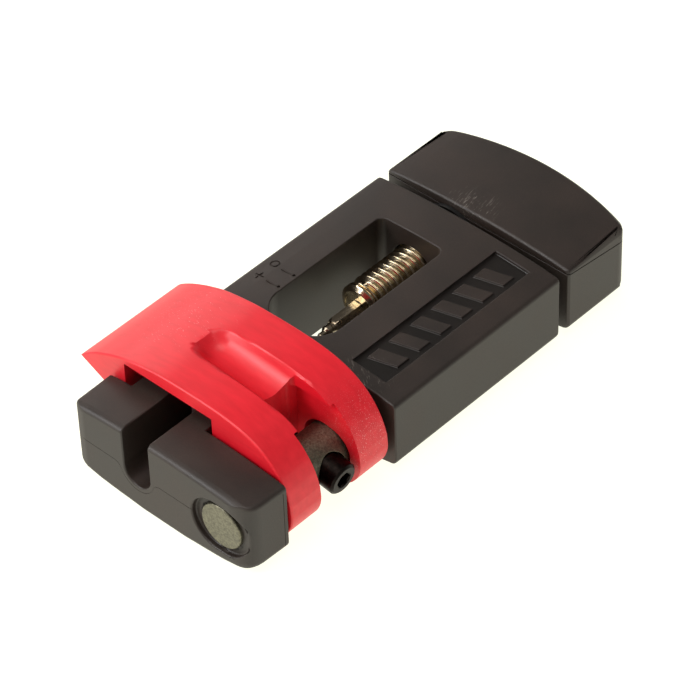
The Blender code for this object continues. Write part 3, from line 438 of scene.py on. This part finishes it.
def makeShellBlank():
    s = shell
    rows = []
    for depth in roundedDepths(s["noseEdge"], 5) + [1.25, s["leftCorner"], 2.2, s["rightCorner"]]:
        share = depth / s["grooveDepth"]
        left = halfWidth - s["noseLeftInset"] + (s["noseLeftInset"] - s["noseRearInset"]) * share
        right = halfWidth - s["noseRightInset"] + (s["noseRightInset"] - s["noseRearInset"]) * share
        rows.append((bodyLow.y + depth, left - standIn(depth, s["leftCorner"]),
                     right - standIn(depth, s["rightCorner"]), standIn(depth, s["noseEdge"])))
    rows.append((s["grooveFront"], halfWidth - s["noseRearInset"], halfWidth - s["noseRearInset"], 0.0))
    rows.append((0.0, halfWidth, halfWidth, 0.0))
    for depth in reversed(roundedDepths(s["rearEdge"], 4)):
        rows.append((bodyHigh.y - depth, halfWidth, halfWidth, standIn(depth, s["rearEdge"])))
    rings = [[(x, y, z) for x, z in shellSection(left, right, inset)] for y, left, right, inset in rows]
    return lofted("bodyMoulding", rings)


window = {"left": -11.6, "right": 1.8, "frontWall": 1.7, "rearWall": 7.9, "frontRound": 5.3,
          "rearRound": 1.4}


def windowOutline():
    w = window
    front, rear = w["frontWall"], bodyHigh.y - w["rearWall"]
    fr, rr = w["frontRound"], w["rearRound"]
    return (arcPoints(w["left"] + fr, front + fr, fr, 180, 270, 16)[:-1]
            + arcPoints(w["right"] - fr, front + fr, fr, 270, 360, 16)
            + arcPoints(w["right"] - rr, rear - rr, rr, 0, 90, 8)
            + arcPoints(w["left"] + rr, rear - rr, rr, 90, 180, 8))


def hoseSlotOutline(radius, top):
    return (arcPoints(pressAt.x, middleZ, radius, 180, 360, 28)
            + [(pressAt.x + radius, top), (pressAt.x - radius, top)])


def slotOutline(cx, cz, radius, half, tilt, steps=32):
    dx, dz = half * math.cos(math.radians(tilt)), half * math.sin(math.radians(tilt))
    return (arcPoints(cx + dx, cz + dz, radius, tilt - 90, tilt + 90, steps)
            + arcPoints(cx - dx, cz - dz, radius, tilt + 90, tilt + 270, steps))


# Grip panel: six slanted bars stand on the floor of a shallow recess.
panel = {"width": 7.0, "side": 4.4, "front": 2.9, "rear": 2.5, "depth": 0.55, "bars": 6, "barWidth": 2.6,
         "barRise": 0.3, "margin": 1.1, "slant": 1.6}


def panelFloor(x):
    return topHeight(x) - panel["depth"]


def makePanelBars():
    p = panel
    right = halfWidth - p["side"]
    left = right - p["width"]
    y0, y1 = p["front"], bodyHigh.y - p["rear"]
    pitch = (y1 - y0 - 2 * p["margin"] - p["slant"]) / p["bars"]
    x0, x1 = left + p["margin"], right - p["margin"]
    bars = []
    for i in range(p["bars"]):
        start = y0 + p["margin"] + i * pitch + (pitch - p["barWidth"]) / 2
        corners = ((x0, start), (x1, start + p["slant"]), (x1, start + p["slant"] + p["barWidth"]),
                   (x0, start + p["barWidth"]))
        rings = [[(x, y, panelFloor(x) + lift) for x, y in corners] for lift in (-0.4, p["barRise"])]
        bars.append(lofted("bar", rings))
    return bars


# Setting marks beside the window: a ring and a plus are sunk, the dashes beside them are raised.
marks = {"ring": (-16.8, 11.7), "plus": (-16.8, 8.1), "dashFrom": -15.0, "dashTo": -12.9, "dot": -12.35,
         "ringRadius": 0.85, "line": 0.32, "sunk": 0.22, "raised": 0.16}


def cutMarks(body):
    m = marks
    x, y = m["ring"]
    top = topHeight(x)
    inner = m["ringRadius"] - m["line"]
    carve(body, turned("ringMark", ((top - m["sunk"], m["ringRadius"]), (top + 1, m["ringRadius"])),
                       Vector((x, y, 0)), alongZ, bore=inner, steps=32))
    x, y = m["plus"]
    half, reach = m["line"] / 2, m["ringRadius"]
    carve(body, block("plusAcross", (x - reach, y - half, top - m["sunk"]), (x + reach, y + half, top + 1)))
    carve(body, block("plusAlong", (x - half, y - reach, top - m["sunk"] - 0.01),
                      (x + half, y + reach, top + 1.1)))
    for row in (m["ring"][1] - 0.4, m["plus"][1] - 0.3):
        raised = topHeight(m["dashFrom"]) + m["raised"]
        dash = block("dash", (m["dashFrom"], row - half, raised - 0.6), (m["dashTo"], row + half, raised))
        carve(body, dash, "UNION")
        dotAt = Vector((m["dot"], row, 0))
        carve(body, turned("dot", ((top, 0.3), (top + 2, 0.3)), dotAt, alongZ, steps=16))


# The split of the mould: a fine line on the nose's front that dips round the hose slot.
partingLine = {"z": 7.7, "clear": 0.8, "width": 0.09, "depth": 0.12, "rearLineY": 0.85}


def cutPartingLine(body, pinSeat):
    p = partingLine
    radius = shell["hoseWidth"] / 2 + p["clear"]
    dip = arcPoints(pressAt.x, middleZ, radius, 190, 350, 20)
    path = [(-halfWidth - 1, p["z"]), (dip[0][0] - 1.4, p["z"]), (dip[0][0] - 0.5, p["z"] - 0.25)]
    path += dip[1:-1]
    path += [(dip[-1][0] + 0.5, p["z"] - 0.25), (dip[-1][0] + 1.4, p["z"]), (pinAt.x - pinSeat, p["z"])]
    half = p["width"] / 2
    ribbon = [(x, z + half) for x, z in path] + [(x, z - half) for x, z in reversed(path)]
    carve(body, slab("partingCut", ribbon, "y", bodyLow.y - 1, bodyLow.y + p["depth"]))
    corner = ((-halfWidth - 1, p["z"] - half), (1.2 - halfWidth, p["z"] - half),
              (1.2 - halfWidth, p["z"] + half), (-halfWidth - 1, p["z"] + half))
    carve(body, slab("partingCorner", corner, "y", bodyLow.y - 1, bodyLow.y + 1.6))
    y = shell["grooveFront"] - p["rearLineY"]
    side = halfWidth - shell["noseRearInset"]
    carve(body, block("rearLine", (side - p["depth"] - 0.04, y - half, 1.6),
                      (side + 1, y + half, thick - 1.9)))


def makeBody():
    s = shell
    body = makeShellBlank()
    wide, radius, high3 = 2 * halfWidth, s["hoseWidth"] / 2, 3 * thick
    groove = ((-wide, s["floorTop"]), (s["blockLeft"], s["floorTop"]), (s["blockLeft"], 30),
              (s["blockRight"], 30), (s["blockRight"], s["floorTop"]), (s["floorRight"], s["floorTop"]),
              (s["floorRight"], -5), (wide, -5), (wide, high3), (-wide, high3))
    carve(body, slab("groove", groove, "y", s["grooveFront"], 0.0))
    carve(body, block("blockRear", (s["blockLeft"] - 0.5, s["blockRear"], s["floorTop"]),
                      (s["blockRight"] + 0.5, 0.0, 30)))
    carve(body, slab("hoseSlot", hoseSlotOutline(radius, 30), "y", bodyLow.y - 2, s["blockRear"] + 0.4))
    carve(body, slab("hoseSlotRear", hoseSlotOutline(radius, 30), "y", -1, window["frontWall"] + 1))
    carve(body, slab("windowCut", windowOutline(), "z", -5, 30))
    seat = (pinHigh.x - pinLow.x) / 2 + s["pinGap"]
    pinLine = Vector((pinAt.x, 0, pinAt.z))
    frontBore = ((bodyLow.y - 1, seat), (s["grooveFront"] + 1, seat))
    carve(body, turned("pinBoreFront", frontBore, pinLine, alongY))
    mouth = slotOutline(pinAt.x, pinAt.z, seat, s["pinMouth"], 0)
    carve(body, slab("pinMouth", mouth, "y", bodyLow.y - 1, bodyLow.y + 1.0))
    carve(body, turned("pinBoreRear", ((-1, seat), (s["rearBore"], seat)), pinLine, alongY))
    nutLow, nutHigh = boxOf("press_nut")
    nutSeat, lip = (nutHigh.x - nutLow.x) / 2 + 0.04, screwRadius + 0.2
    bore = ((bodyHigh.y - window["rearWall"] - 1, lip), (nutLow.y - 0.04, lip), (nutLow.y - 0.04, nutSeat),
            (bodyHigh.y + 1, nutSeat))
    carve(body, turned("nutBore", bore, Vector((pressAt.x, 0, middleZ)), alongY))
    cradleLow, cradleHigh = boxOf("hose_cradle")
    carve(body, block("cradlePocket", (cradleLow.x - 0.05, cradleLow.y - 0.05, cradleLow.z - 0.05),
                      (cradleHigh.x + 0.05, cradleHigh.y + 0.05, thick)))
    right = halfWidth - panel["side"]
    left = right - panel["width"]
    floor = ((left, panelFloor(left)), (right, panelFloor(right)), (right, thick + 2), (left, thick + 2))
    carve(body, slab("panelCut", floor, "y", panel["front"], bodyHigh.y - panel["rear"]))
    for bar in makePanelBars():
        carve(body, bar, "UNION")
    onPanel = lambda p: p.x > left - 0.3 and panel["front"] - 0.3 < p.y < bodyHigh.y - 2 and p.z > 13
    atWindow = lambda p: p.y > 0.5 and p.x < 2.5 and abs(p.z - middleZ) < 8
    roundEdges(body, s["edgeRound"], ((onPanel, 0.14), (atWindow, 0.22)))
    cutMarks(body)
    cutPartingLine(body, seat)
    fit(body, "frame", blackNylon, "body_shell")
    body.data.materials.append(panelNylon)
    for face in body.data.polygons:
        x, y, z = face.center * 1000
        across = left - 0.1 < x < right + 0.1
        along = panel["front"] - 0.1 < y < bodyHigh.y - panel["rear"] + 0.1
        if across and along and panelFloor(x) - 0.1 < z < panelFloor(x) + 0.12:
            face.material_index = 1


makeBody()
print("body made")

# Lever, with its outline given from its tip and from the pin.
leverLow, leverHigh = boxOf("lever")
lever = {"camRadius": 6.9, "footZ": 5.4, "bossLeft": -1.0, "webZ": 9.3, "forkStart": 5.8,
         "forkFront": -16.4, "forkRear": -7.7, "lip": 0.8, "lipZ": 17.2, "slotTravel": 0.65,
         "dishRadius": 3.9, "dishY": -12.1,
         "dishStart": (-5.7, 22.0), "dishEndZ": 18.6, "edgeRound": 0.35, "tipFade": 3.0, "dishSoft": 0.5,
         "tip": ((0.0, 13.75), (0.9, 14.6), (2.9, 15.9), (5.1, 17.0), (7.5, 18.0), (11.0, 19.1),
                 (16.5, 19.95), (21.5, 20.2)),
         "shoulder": ((-10.7, 20.2), (-6.2, 19.9), (-2.6, 19.2), (0.2, 18.1), (2.6, 16.5), (4.6, 14.3),
                      (6.0, 11.8), (6.75, 9.4)),
         "underside": ((9.1, 9.3), (7.0, 9.85), (4.1, 11.4), (0.4, 13.45)),
         "reliefLeft": -15.7, "reliefRight": 2.9, "reliefGap": 0.4, "reliefZ": 17.8,
         "mouthCorner": 3.2, "padGap": 0.05, "adjusterHole": 1.65}


def leverOutline():
    s = lever
    knots = [(leverLow.x + x, z) for x, z in s["tip"]] + [(pinAt.x + x, z) for x, z in s["shoulder"]]
    foot = math.degrees(math.asin((pinAt.z - s["footZ"]) / s["camRadius"]))
    cam = arcPoints(pinAt.x, pinAt.z, s["camRadius"], 0, foot - 180, 36)
    under = [(s["bossLeft"], s["footZ"]), (s["bossLeft"], s["webZ"])]
    under += [(leverLow.x + x, z) for x, z in s["underside"]]
    top = smoothLine(knots, 6)
    return top, cam + under


def dishHeight(x, y, far):
    # Height of the thumb dish's round floor: half a ball at its start, then a sloping channel.
    s = lever
    startX, startZ = s["dishStart"]
    along = min(max(x, startX), far)
    centreZ = startZ + (s["dishEndZ"] - startZ) * (along - startX) / (far - startX)
    under = s["dishRadius"] ** 2 - (y - s["dishY"]) ** 2 - (x - along) ** 2
    return centreZ - math.sqrt(under) if under > 0 else centreZ


def softLower(a, b, blend):
    # The lower of two heights, with the corner between them rounded off.
    share = max(blend - abs(a - b), 0.0) / blend
    return min(a, b) - share * share * blend / 4


def leverRings(y0, y1, far):
    # The outline repeated across the lever, its top sunk into the dish and its long edges rounded.
    s = lever
    top, rest = leverOutline()
    r = s["edgeRound"]
    dish = [s["dishY"] + (s["dishRadius"] + 0.9) * i / 16 for i in range(-16, 17)]
    rows = [(y0 + d, standIn(d, r)) for d in roundedDepths(r, 4)]
    rows += [(y, 0.0) for y in dish if y0 + 2 * r < y < y1 - 2 * r]
    rows += [(y1 - d, standIn(d, r)) for d in reversed(roundedDepths(r, 4))]
    outline = top + rest
    rings = []
    for y, inset in rows:
        ring = []
        for i, (x, z) in enumerate(outline):
            before, after = Vector(outline[i - 1]), Vector(outline[(i + 1) % len(outline)])
            out = Vector((before.y - after.y, after.x - before.x)).normalized()
            if i < len(top) and abs(y - s["dishY"]) < s["dishRadius"] + 1:
                z = softLower(z, dishHeight(x, y, far), s["dishSoft"])
            soft = inset * min(1.0, 0.1 + (x - leverLow.x) / s["tipFade"])
            ring.append((x - out.x * soft, y, z - out.y * soft))
        rings.append(ring)
    return rings


def makeLever():
    s = lever
    y0, y1, far = leverLow.y, leverHigh.y, leverHigh.x + 15
    piece = lofted("clampLever", leverRings(y0, y1, far))
    front, rear = s["forkFront"] + s["lip"], s["forkRear"] - s["lip"]
    left, wide = s["forkStart"], s["mouthCorner"]
    mouth = [(far, front), (far, rear), (left + wide, rear)]
    mouth += [(left + 0.95, rear - 0.1), (left + 0.45, rear - 0.55), (left + 0.15, rear - 1.3),
              (left, rear - 2.4), (left, front + 2.4), (left + 0.15, front + 1.3),
              (left + 0.45, front + 0.55), (left + 0.95, front + 0.1), (left + wide, front)]
    carve(piece, slab("forkMouth", mouth, "z", -10, 40))
    carve(piece, block("forkHollow", (left + 0.4, s["forkFront"], -10), (far, s["forkRear"], s["lipZ"])))
    slot = slotOutline(pinAt.x, pinAt.z, (pinHigh.x - pinLow.x) / 2 + 0.06, s["slotTravel"],
                       math.degrees(math.asin(adjusterAxis.z)), 20)
    carve(piece, slab("pinSlot", slot, "y", y0 - 1, y1 + 1))
    padLow, padHigh = boxOf("jaw_pad")
    gap = s["padGap"]
    carve(piece, block("padPocket", (padLow.x - gap, padLow.y - gap, 0),
                       (padHigh.x + gap, padHigh.y + gap, padHigh.z + gap)))
    radius = shell["hoseWidth"] / 2
    throat = [(pressAt.x - radius, 0), (pressAt.x + radius, 0)]
    throat += arcPoints(pressAt.x, middleZ, radius, 0, 180, 28)
    carve(piece, slab("hoseThroat", throat, "y", y0 - 1, y1 + 1))
    hole = s["adjusterHole"]
    carve(piece, turned("adjusterHole", ((-18, hole), (0, hole)), pinAt, adjusterAxis, steps=48))
    carve(piece, block("relief", (s["reliefLeft"], y0 - 1, 0),
                       (s["reliefRight"], shell["blockRear"] + s["reliefGap"], s["reliefZ"])))
    fit(piece, "lever", redNylon, "lever", sharp=34)


makeLever()
print("lever made")

# Knob, in two halves along a sloping seam.
knobLow, knobHigh = boxOf("knob_body")
knob = {"arcRise": 2.7, "corner": 2.6, "rearRound": 0.9, "seamDepth": 5.35, "seamZ": 12.85,
        "seamSlope": -0.12, "seamGap": 0.12, "coverScrewHole": 2.14, "setScrewHole": 1.49, "shankHole": 1.24}


def knobPlan():
    k = knob
    half = halfWidth - k["corner"] * 0.35
    radius = (half * half + k["arcRise"] ** 2) / (2 * k["arcRise"])
    centre = knobHigh.y - radius
    reach = math.degrees(math.asin((halfWidth - k["corner"]) / (radius - k["corner"])))
    cx = (radius - k["corner"]) * math.sin(math.radians(reach))
    cy = centre + (radius - k["corner"]) * math.cos(math.radians(reach))
    bow = arcPoints(0, centre, radius, 90 - reach, 90 + reach, 36)
    right = arcPoints(cx, cy, k["corner"], 0, 90 - reach, 12)[:-1]
    left = arcPoints(-cx, cy, k["corner"], 90 + reach, 180, 12)[1:]
    far = halfWidth + 5
    return ([(halfWidth, cy - 0.05)] + right + bow + left + [(-halfWidth, cy - 0.05), (-far, cy - 0.05),
            (-far, knobHigh.y + 9), (far, knobHigh.y + 9), (far, cy - 0.05)])


def makeKnobHalf(name, upper):
    k = knob
    rows = [(depth, standIn(depth, shell["rearEdge"])) for depth in roundedDepths(shell["rearEdge"], 4)]
    rows.append((knobHigh.y - knobLow.y + 3, 0.0))
    half = lofted(name, [[(x, knobLow.y + depth, z) for x, z in shellSection(halfWidth, halfWidth, inset)]
                         for depth, inset in rows])
    carve(half, slab(name + "Plan", knobPlan(), "z", -5, 30))
    gap = k["seamGap"] / 2 * (1 if upper else -1)
    y0, y1 = knobLow.y - 2, knobHigh.y + 5
    seam = [(y, k["seamZ"] + k["seamSlope"] * (y - knobLow.y - k["seamDepth"]) + gap) for y in (y0, y1)]
    far = -thick if upper else 3 * thick
    carve(half, slab(name + "Waste", seam + [(y1, far), (y0, far)], "x", -halfWidth - 5, halfWidth + 5))
    return half


def makeKnob():
    lower, cover = makeKnobHalf("knobMoulding", False), makeKnobHalf("knobCover", True)
    insertLow, insertHigh = boxOf("knob_insert")
    seat = (insertHigh.x - insertLow.x) / 2 + 0.04
    carve(lower, turned("insertSeat", ((knobLow.y - 1, seat), (insertHigh.y + 0.3, seat)),
                        Vector((pressAt.x, 0, middleZ)), alongY))
    wide, narrow = knob["coverScrewHole"], knob["setScrewHole"]
    heads = {"knob_cover_screw_1": wide, "knob_cover_screw_2": wide, "knob_set_screw": narrow}
    for name, head in heads.items():
        a, b = boxOf(name)
        centre = Vector(((a.x + b.x) / 2, (a.y + b.y) / 2, 0))
        depth = 1.6 + a.z + 0.04 if "cover" in name else middleZ
        carve(lower, turned(name + "Hole", ((-5, head), (depth, head)), centre, alongZ, steps=48))
        if "cover" in name:
            for half in (lower, cover):
                shank = ((0, knob["shankHole"]), (b.z + 0.04, knob["shankHole"]))
                carve(half, turned(name + "Shank" + half.name, shank, centre, alongZ, steps=48))
    behind = lambda p: p.y > knobLow.y + 8 and (p.z > 13.2 or p.z < 2.2)
    seamEdge = lambda p: 10 < p.z < 13.9 and abs(p.x) > 5 and p.y > knobLow.y + 0.1
    for half, standsFor in ((lower, "knob_body"), (cover, "knob_cover")):
        roundEdges(half, 0.12, ((behind, knob["rearRound"]), (seamEdge, 0.08)), sharp=40)
        fit(half, "knob", knobNylon, standsFor)


makeKnob()
print("knob made")

# Press screw, its front ferrule and the bit.
pressLine = Vector((pressAt.x, 0, middleZ))
press = {"pitch": 1.25, "depth": 0.72, "runOut": 0.2, "ferruleWall": 1.3, "bitFlats": 2.5, "hexLength": 6.0,
         "neck": 0.95, "tip": 0.52}


def makeThreadedRod(name, y0, turns, steps=72):
    # A right-hand helix with a rounded crest and root, closed at both ends.
    crest, root = screwRadius, screwRadius - press["depth"]
    shape = ((0.0, root), (0.07, root + 0.03), (0.41, crest - 0.06), (0.46, crest - 0.01), (0.5, crest),
             (0.54, crest - 0.01), (0.59, crest - 0.06), (0.93, root + 0.03))
    lift, total = len(shape), turns * len(shape) + 1
    bm = bmesh.new()
    rows = []
    for k in range(total):
        share, radius = shape[k % lift]
        base = y0 + (k // lift + share) * press["pitch"]
        row = []
        for i in range(steps):
            turn = 2 * math.pi * i / steps
            row.append(bm.verts.new((pressLine.x + radius * math.sin(turn),
                                     base + press["pitch"] * i / steps,
                                     pressLine.z + radius * math.cos(turn))))
        rows.append(row)
    for k in range(total - 1):
        for i in range(steps - 1):
            bm.faces.new((rows[k][i], rows[k][i + 1], rows[k + 1][i + 1], rows[k + 1][i]))
        if k + lift + 1 < total:
            ahead, after = rows[k + lift][0], rows[k + lift + 1][0]
            bm.faces.new((rows[k][steps - 1], ahead, after, rows[k + 1][steps - 1]))
    front = rows[0] + [rows[k][0] for k in range(lift, 0, -1)]
    back = rows[-1] + [rows[k][steps - 1] for k in range(total - 2, total - lift - 2, -1)]
    for loop, y in ((front, y0), (back, y0 + (turns + 1) * press["pitch"])):
        centre = bm.verts.new((pressLine.x, y, pressLine.z))
        for a, b in zip(loop, loop[1:] + loop[:1]):
            bm.faces.new((a, b, centre))
    return newPiece(name, bm)


def makePressScrew():
    ferruleLow, ferruleHigh = boxOf("screw_ferrule")
    insertLow, insertHigh = boxOf("knob_insert")
    tail = (insertHigh.x - insertLow.x) / 2 - 1.1
    root = screwRadius - press["depth"] - 0.02
    nose = screwRadius - press["ferruleWall"]
    tailStart = knobLow.y + 0.45
    start = ferruleHigh.y + press["runOut"]
    profile = ((screwLow.y, nose), (start - 0.1, nose), (start - 0.1, root), (tailStart, root),
               (tailStart, tail), (screwHigh.y - 0.4, tail), (screwHigh.y, tail - 0.4))
    core = turned("screwCore", profile, pressLine, alongY, steps=48)
    socket = press["bitFlats"] / 2 / math.cos(math.pi / 6) + 0.06
    depth = boxOf("bit_magnet")[1].y + 0.1
    bore = ((screwLow.y - 1, socket), (depth, socket))
    carve(core, turned("bitSocket", bore, pressLine, alongY, steps=32))
    turns = int((tailStart - start - 0.1) / press["pitch"]) - 1
    screw = joinPieces("pressScrew", [core, makeThreadedRod("thread", start, turns)])
    screw.data.set_sharp_from_angle(angle=math.radians(50))
    fit(screw, "knob", nickelThread, "press_screw")
    a, b = ferruleLow.y, ferruleHigh.y
    wide = (ferruleHigh.x - ferruleLow.x) / 2
    ring = ((a, wide - 0.85), (a + 0.1, wide - 0.66), (a + 0.5, wide - 0.12), (a + 0.62, wide),
            (a + 0.92, wide), (a + 1.0, wide - 0.08), (a + 1.05, wide - 0.26), (a + 1.2, wide - 0.26),
            (a + 1.25, wide - 0.08), (a + 1.33, wide), (b - 0.08, wide), (b, wide - 0.08))
    ferrule = turned("screwFerrule", ring, pressLine, alongY, bore=nose + 0.04, steps=72)
    ferrule.data.set_sharp_from_angle(angle=math.radians(38))
    fit(ferrule, "knob", nickelThread, "screw_ferrule")


def makeBit():
    # Hexagon with turned-down corners, a grooved neck and a thin round tip.
    bitLow, bitHigh = boxOf("drive_bit")
    p = press
    corner = p["bitFlats"] / 2 / math.cos(math.pi / 6)
    front = screwLow.y - p["hexLength"]
    hexagon = turned("driveBit", ((front, corner), (bitHigh.y, corner)), pressLine, alongY, steps=6)
    cone = ((front - 0.1, p["neck"] + 0.05), (front + 0.75, corner + 0.02),
            (bitHigh.y - 0.3, corner + 0.02), (bitHigh.y, corner - 0.25))
    carve(hexagon, turned("cornerCone", cone, pressLine, alongY), "INTERSECT")
    neckEnd = front - 1.5
    stem = ((bitLow.y, p["tip"] - 0.2), (bitLow.y + 0.12, p["tip"] - 0.06), (bitLow.y + 0.3, p["tip"]),
            (neckEnd - 0.5, p["tip"]), (neckEnd - 0.3, p["tip"] + 0.12), (neckEnd, p["neck"] - 0.05),
            (neckEnd + 0.1, p["neck"]), (neckEnd + 0.6, p["neck"]), (neckEnd + 0.7, p["neck"] - 0.18),
            (neckEnd + 0.95, p["neck"] - 0.18), (neckEnd + 1.05, p["neck"]), (front + 1, p["neck"]))
    carve(hexagon, turned("bitStem", stem, pressLine, alongY, steps=48), "UNION")
    fit(hexagon, "tip", bitSteel, "drive_bit")


makePressScrew()
makeBit()
print("press screw made")

# Pivot pin, adjuster cap screw and its washers.
pinShape = {"chamfer": 0.3, "seatStart": 1.4, "seatWidth": 5.9, "boreWidth": 3.3, "edgeRound": 0.12}
capScrew = {"shank": 2.94, "headStart": 2.8, "headLength": 3.8, "socket": 2.5, "socketDepth": 1.4,
            "end": 12.0}
washer = {"thick": 0.45, "gap": 0.2, "wide": 5.3, "split": 0.35}


def makePin():
    p = pinShape
    radius = (pinHigh.x - pinLow.x) / 2
    a, b, c = pinLow.y, pinHigh.y, p["chamfer"]
    profile = ((a, radius - c), (a + 0.04, radius - c + 0.14), (a + 0.14, radius - 0.06), (a + c, radius),
               (b - c, radius), (b, radius - c))
    pin = turned("pivotPin", profile, Vector((pinAt.x, 0, pinAt.z)), alongY, steps=96)
    reach = 2 * radius
    bore = p["boreWidth"] / 2
    carve(pin, turned("crossHole", ((-reach, bore), (reach, bore)), pinAt, adjusterAxis, steps=48))
    seat = p["seatWidth"] / 2
    carve(pin, turned("headSeat", ((p["seatStart"], seat), (reach, seat)), pinAt, adjusterAxis, steps=64))
    aroundSeat = lambda q: abs(q.y - pinAt.y) < seat + 0.5
    roundEdges(pin, 0.02, ((aroundSeat, p["edgeRound"]),), sharp=38, segments=2, tidy=0.004)
    fit(pin, "pin", zincSteel, "pivot_pin")


def makeCapScrew():
    c = capScrew
    screwNear, screwFar = boxOf("adjuster_screw")
    shank, head = c["shank"] / 2, (screwFar.y - screwNear.y) / 2
    start, end = c["headStart"], c["headStart"] + c["headLength"]
    profile = ((-c["end"], shank - 0.3), (0.3 - c["end"], shank), (start, shank), (start, head - 0.12),
               (start + 0.12, head), (end - 0.42, head), (end - 0.3, head - 0.06),
               (end - 0.05, head - 0.34), (end, head - 0.48))
    screw = turned("capScrew", profile, pinAt, adjusterAxis, steps=72)
    corner = c["socket"] / 2 / math.cos(math.pi / 6)
    flats = ((end - c["socketDepth"], corner), (end + 1, corner))
    mouth = ((end - 0.22, corner - 0.16), (end + 0.1, corner + 0.18))
    carve(screw, turned("hexSocket", flats, pinAt, adjusterAxis, steps=6))
    carve(screw, turned("socketMouth", mouth, pinAt, adjusterAxis, steps=48))
    roundEdges(screw, 0.05, sharp=28, segments=2, tidy=0.004)
    fit(screw, "adjuster", blackOxide, "adjuster_screw")


def makeWashers():
    w = washer
    top = capScrew["headStart"] - w["gap"] / 2
    for number in (1, 2):
        outer, inner = w["wide"] / 2, capScrew["shank"] / 2 + 0.12
        base = top - w["thick"]
        profile = ((base, outer - 0.12), (base + 0.04, outer - 0.03), (base + 0.14, outer),
                   (top - 0.14, outer), (top - 0.04, outer - 0.03), (top, outer - 0.12))
        ring = turned("springWasher" + str(number), profile, pinAt, adjusterAxis, bore=inner, steps=72)
        # The split of a spring washer, turned away from its neighbour's.
        lean = math.radians(200 + 70 * number)
        out = Vector((0, math.cos(lean), math.sin(lean)))
        centre = pinAt + adjusterAxis * (top - w["thick"] / 2) + out * (inner + outer) / 2
        split = block("split", (-1.5, -w["split"] / 2, -1.5), (1.5, w["split"] / 2, 1.5))
        split.data.transform(Matrix.Translation(centre) @ out.cross(adjusterAxis).to_track_quat("Y", "Z")
                             .to_matrix().to_4x4())
        carve(ring, split)
        fit(ring, "adjuster", springSteel, "spring_washer_" + str(number))
        top -= w["thick"] + w["gap"]


makePin()
makeCapScrew()
makeWashers()
print("pin and adjuster made")

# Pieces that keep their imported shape, with their finishes.
finishes = {"pin_bush_front": acetal, "pin_bush_rear": acetal, "press_nut": turnedBrass,
            "hose_cradle": acetal, "jaw_pad": rubber, "adjuster_nut": turnedBrass,
            "bit_magnet": nickelThread, "knob_insert": turnedBrass, "thrust_washer": acetal,
            "knob_cover_screw_1": blackOxide, "knob_cover_screw_2": blackOxide, "knob_set_screw": blackOxide}
for node, material in finishes.items():
    nodes[node].data.materials.clear()
    nodes[node].data.materials.append(material)

# A lit white table, white walls that darken overhead, and soft lights above, front left and rear left.
studio = {"floor": "#8c8c8a", "table": "#ffffec", "tableGlow": 1.05, "wall": "#ffffff",
          "ceiling": "#787674", "wallTop": 0.06, "ceilingStart": 0.22,
          "overhead": 4.2, "front": 5.5, "left": 1.6}


def makeFloor():
    bpy.ops.mesh.primitive_plane_add(size=6, location=(0, 0, -0.00002))
    floor = bpy.context.object
    floor.name = "studioFloor"
    material, _, shader, _ = startMaterial("litTable", {"Roughness": 0.9})
    shader.inputs["Base Color"].default_value = linear(studio["floor"])
    shader.inputs["Emission Color"].default_value = linear(studio["table"])
    shader.inputs["Emission Strength"].default_value = studio["tableGlow"]
    floor.data.materials.append(material)


def addSoftbox(name, position, size, power, colour, target=(0, 0.01, 0.008)):
    light = bpy.data.lights.new(name, "AREA")
    light.shape = "RECTANGLE"
    light.size, light.size_y = size
    light.energy = power
    light.color = linear(colour)[:3]
    lamp = bpy.data.objects.new(name, light)
    lamp.location = position
    lamp.rotation_euler = (Vector(target) - Vector(position)).to_track_quat("-Z", "Y").to_euler()
    bpy.context.scene.collection.objects.link(lamp)


def makeWalls():
    world = bpy.data.worlds.new("studio")
    world.use_nodes = True
    tree = world.node_tree
    split = addNode(tree, "ShaderNodeSeparateXYZ",
                    links={"Vector": addNode(tree, "ShaderNodeTexCoord").outputs["Generated"]})
    shade = rampBetween(tree, split.outputs["Z"], linear(studio["wall"]), linear(studio["ceiling"]),
                        studio["wallTop"], studio["ceilingStart"])
    tree.links.new(shade, tree.nodes["Background"].inputs["Color"])
    bpy.context.scene.world = world


def makeStudio():
    makeFloor()
    makeWalls()
    addSoftbox("overheadBox", (0.05, -0.2, 0.9), (0.7, 0.5), studio["overhead"], "#fff8f2")
    addSoftbox("frontBox", (-0.45, -0.58, 0.5), (0.4, 0.4), studio["front"], "#ffffff")
    addSoftbox("leftBox", (-0.75, 0.35, 0.42), (0.4, 0.3), studio["left"], "#fff6ee")


view = {"azimuth": 44.11, "elevation": 42.80, "roll": -2.084, "target": (-0.26, 10.9, 6.55),
        "distance": 561.3, "lens": 183.8}


def makeCamera():
    azimuth, elevation, roll = (math.radians(view[k]) for k in ("azimuth", "elevation", "roll"))
    back = Vector((math.sin(azimuth) * math.cos(elevation), -math.cos(azimuth) * math.cos(elevation),
                   math.sin(elevation)))
    level = (-back).cross(alongZ).normalized()
    upright = level.cross(-back)
    right = level * math.cos(roll) + upright * math.sin(roll)
    up = upright * math.cos(roll) - level * math.sin(roll)
    data = bpy.data.cameras.new("camera")
    data.lens = view["lens"]
    data.sensor_width = 36
    data.clip_start, data.clip_end = 0.01, 20
    camera = bpy.data.objects.new("camera", data)
    turn = Matrix((right, up, back)).transposed().to_4x4()
    position = (Vector(view["target"]) + back * view["distance"]) / 1000
    camera.matrix_world = Matrix.Translation(position) @ turn
    bpy.context.scene.collection.objects.link(camera)
    bpy.context.scene.camera = camera


makeStudio()
makeCamera()
bpy.context.scene.view_settings.view_transform = "Standard"
print("studio set")
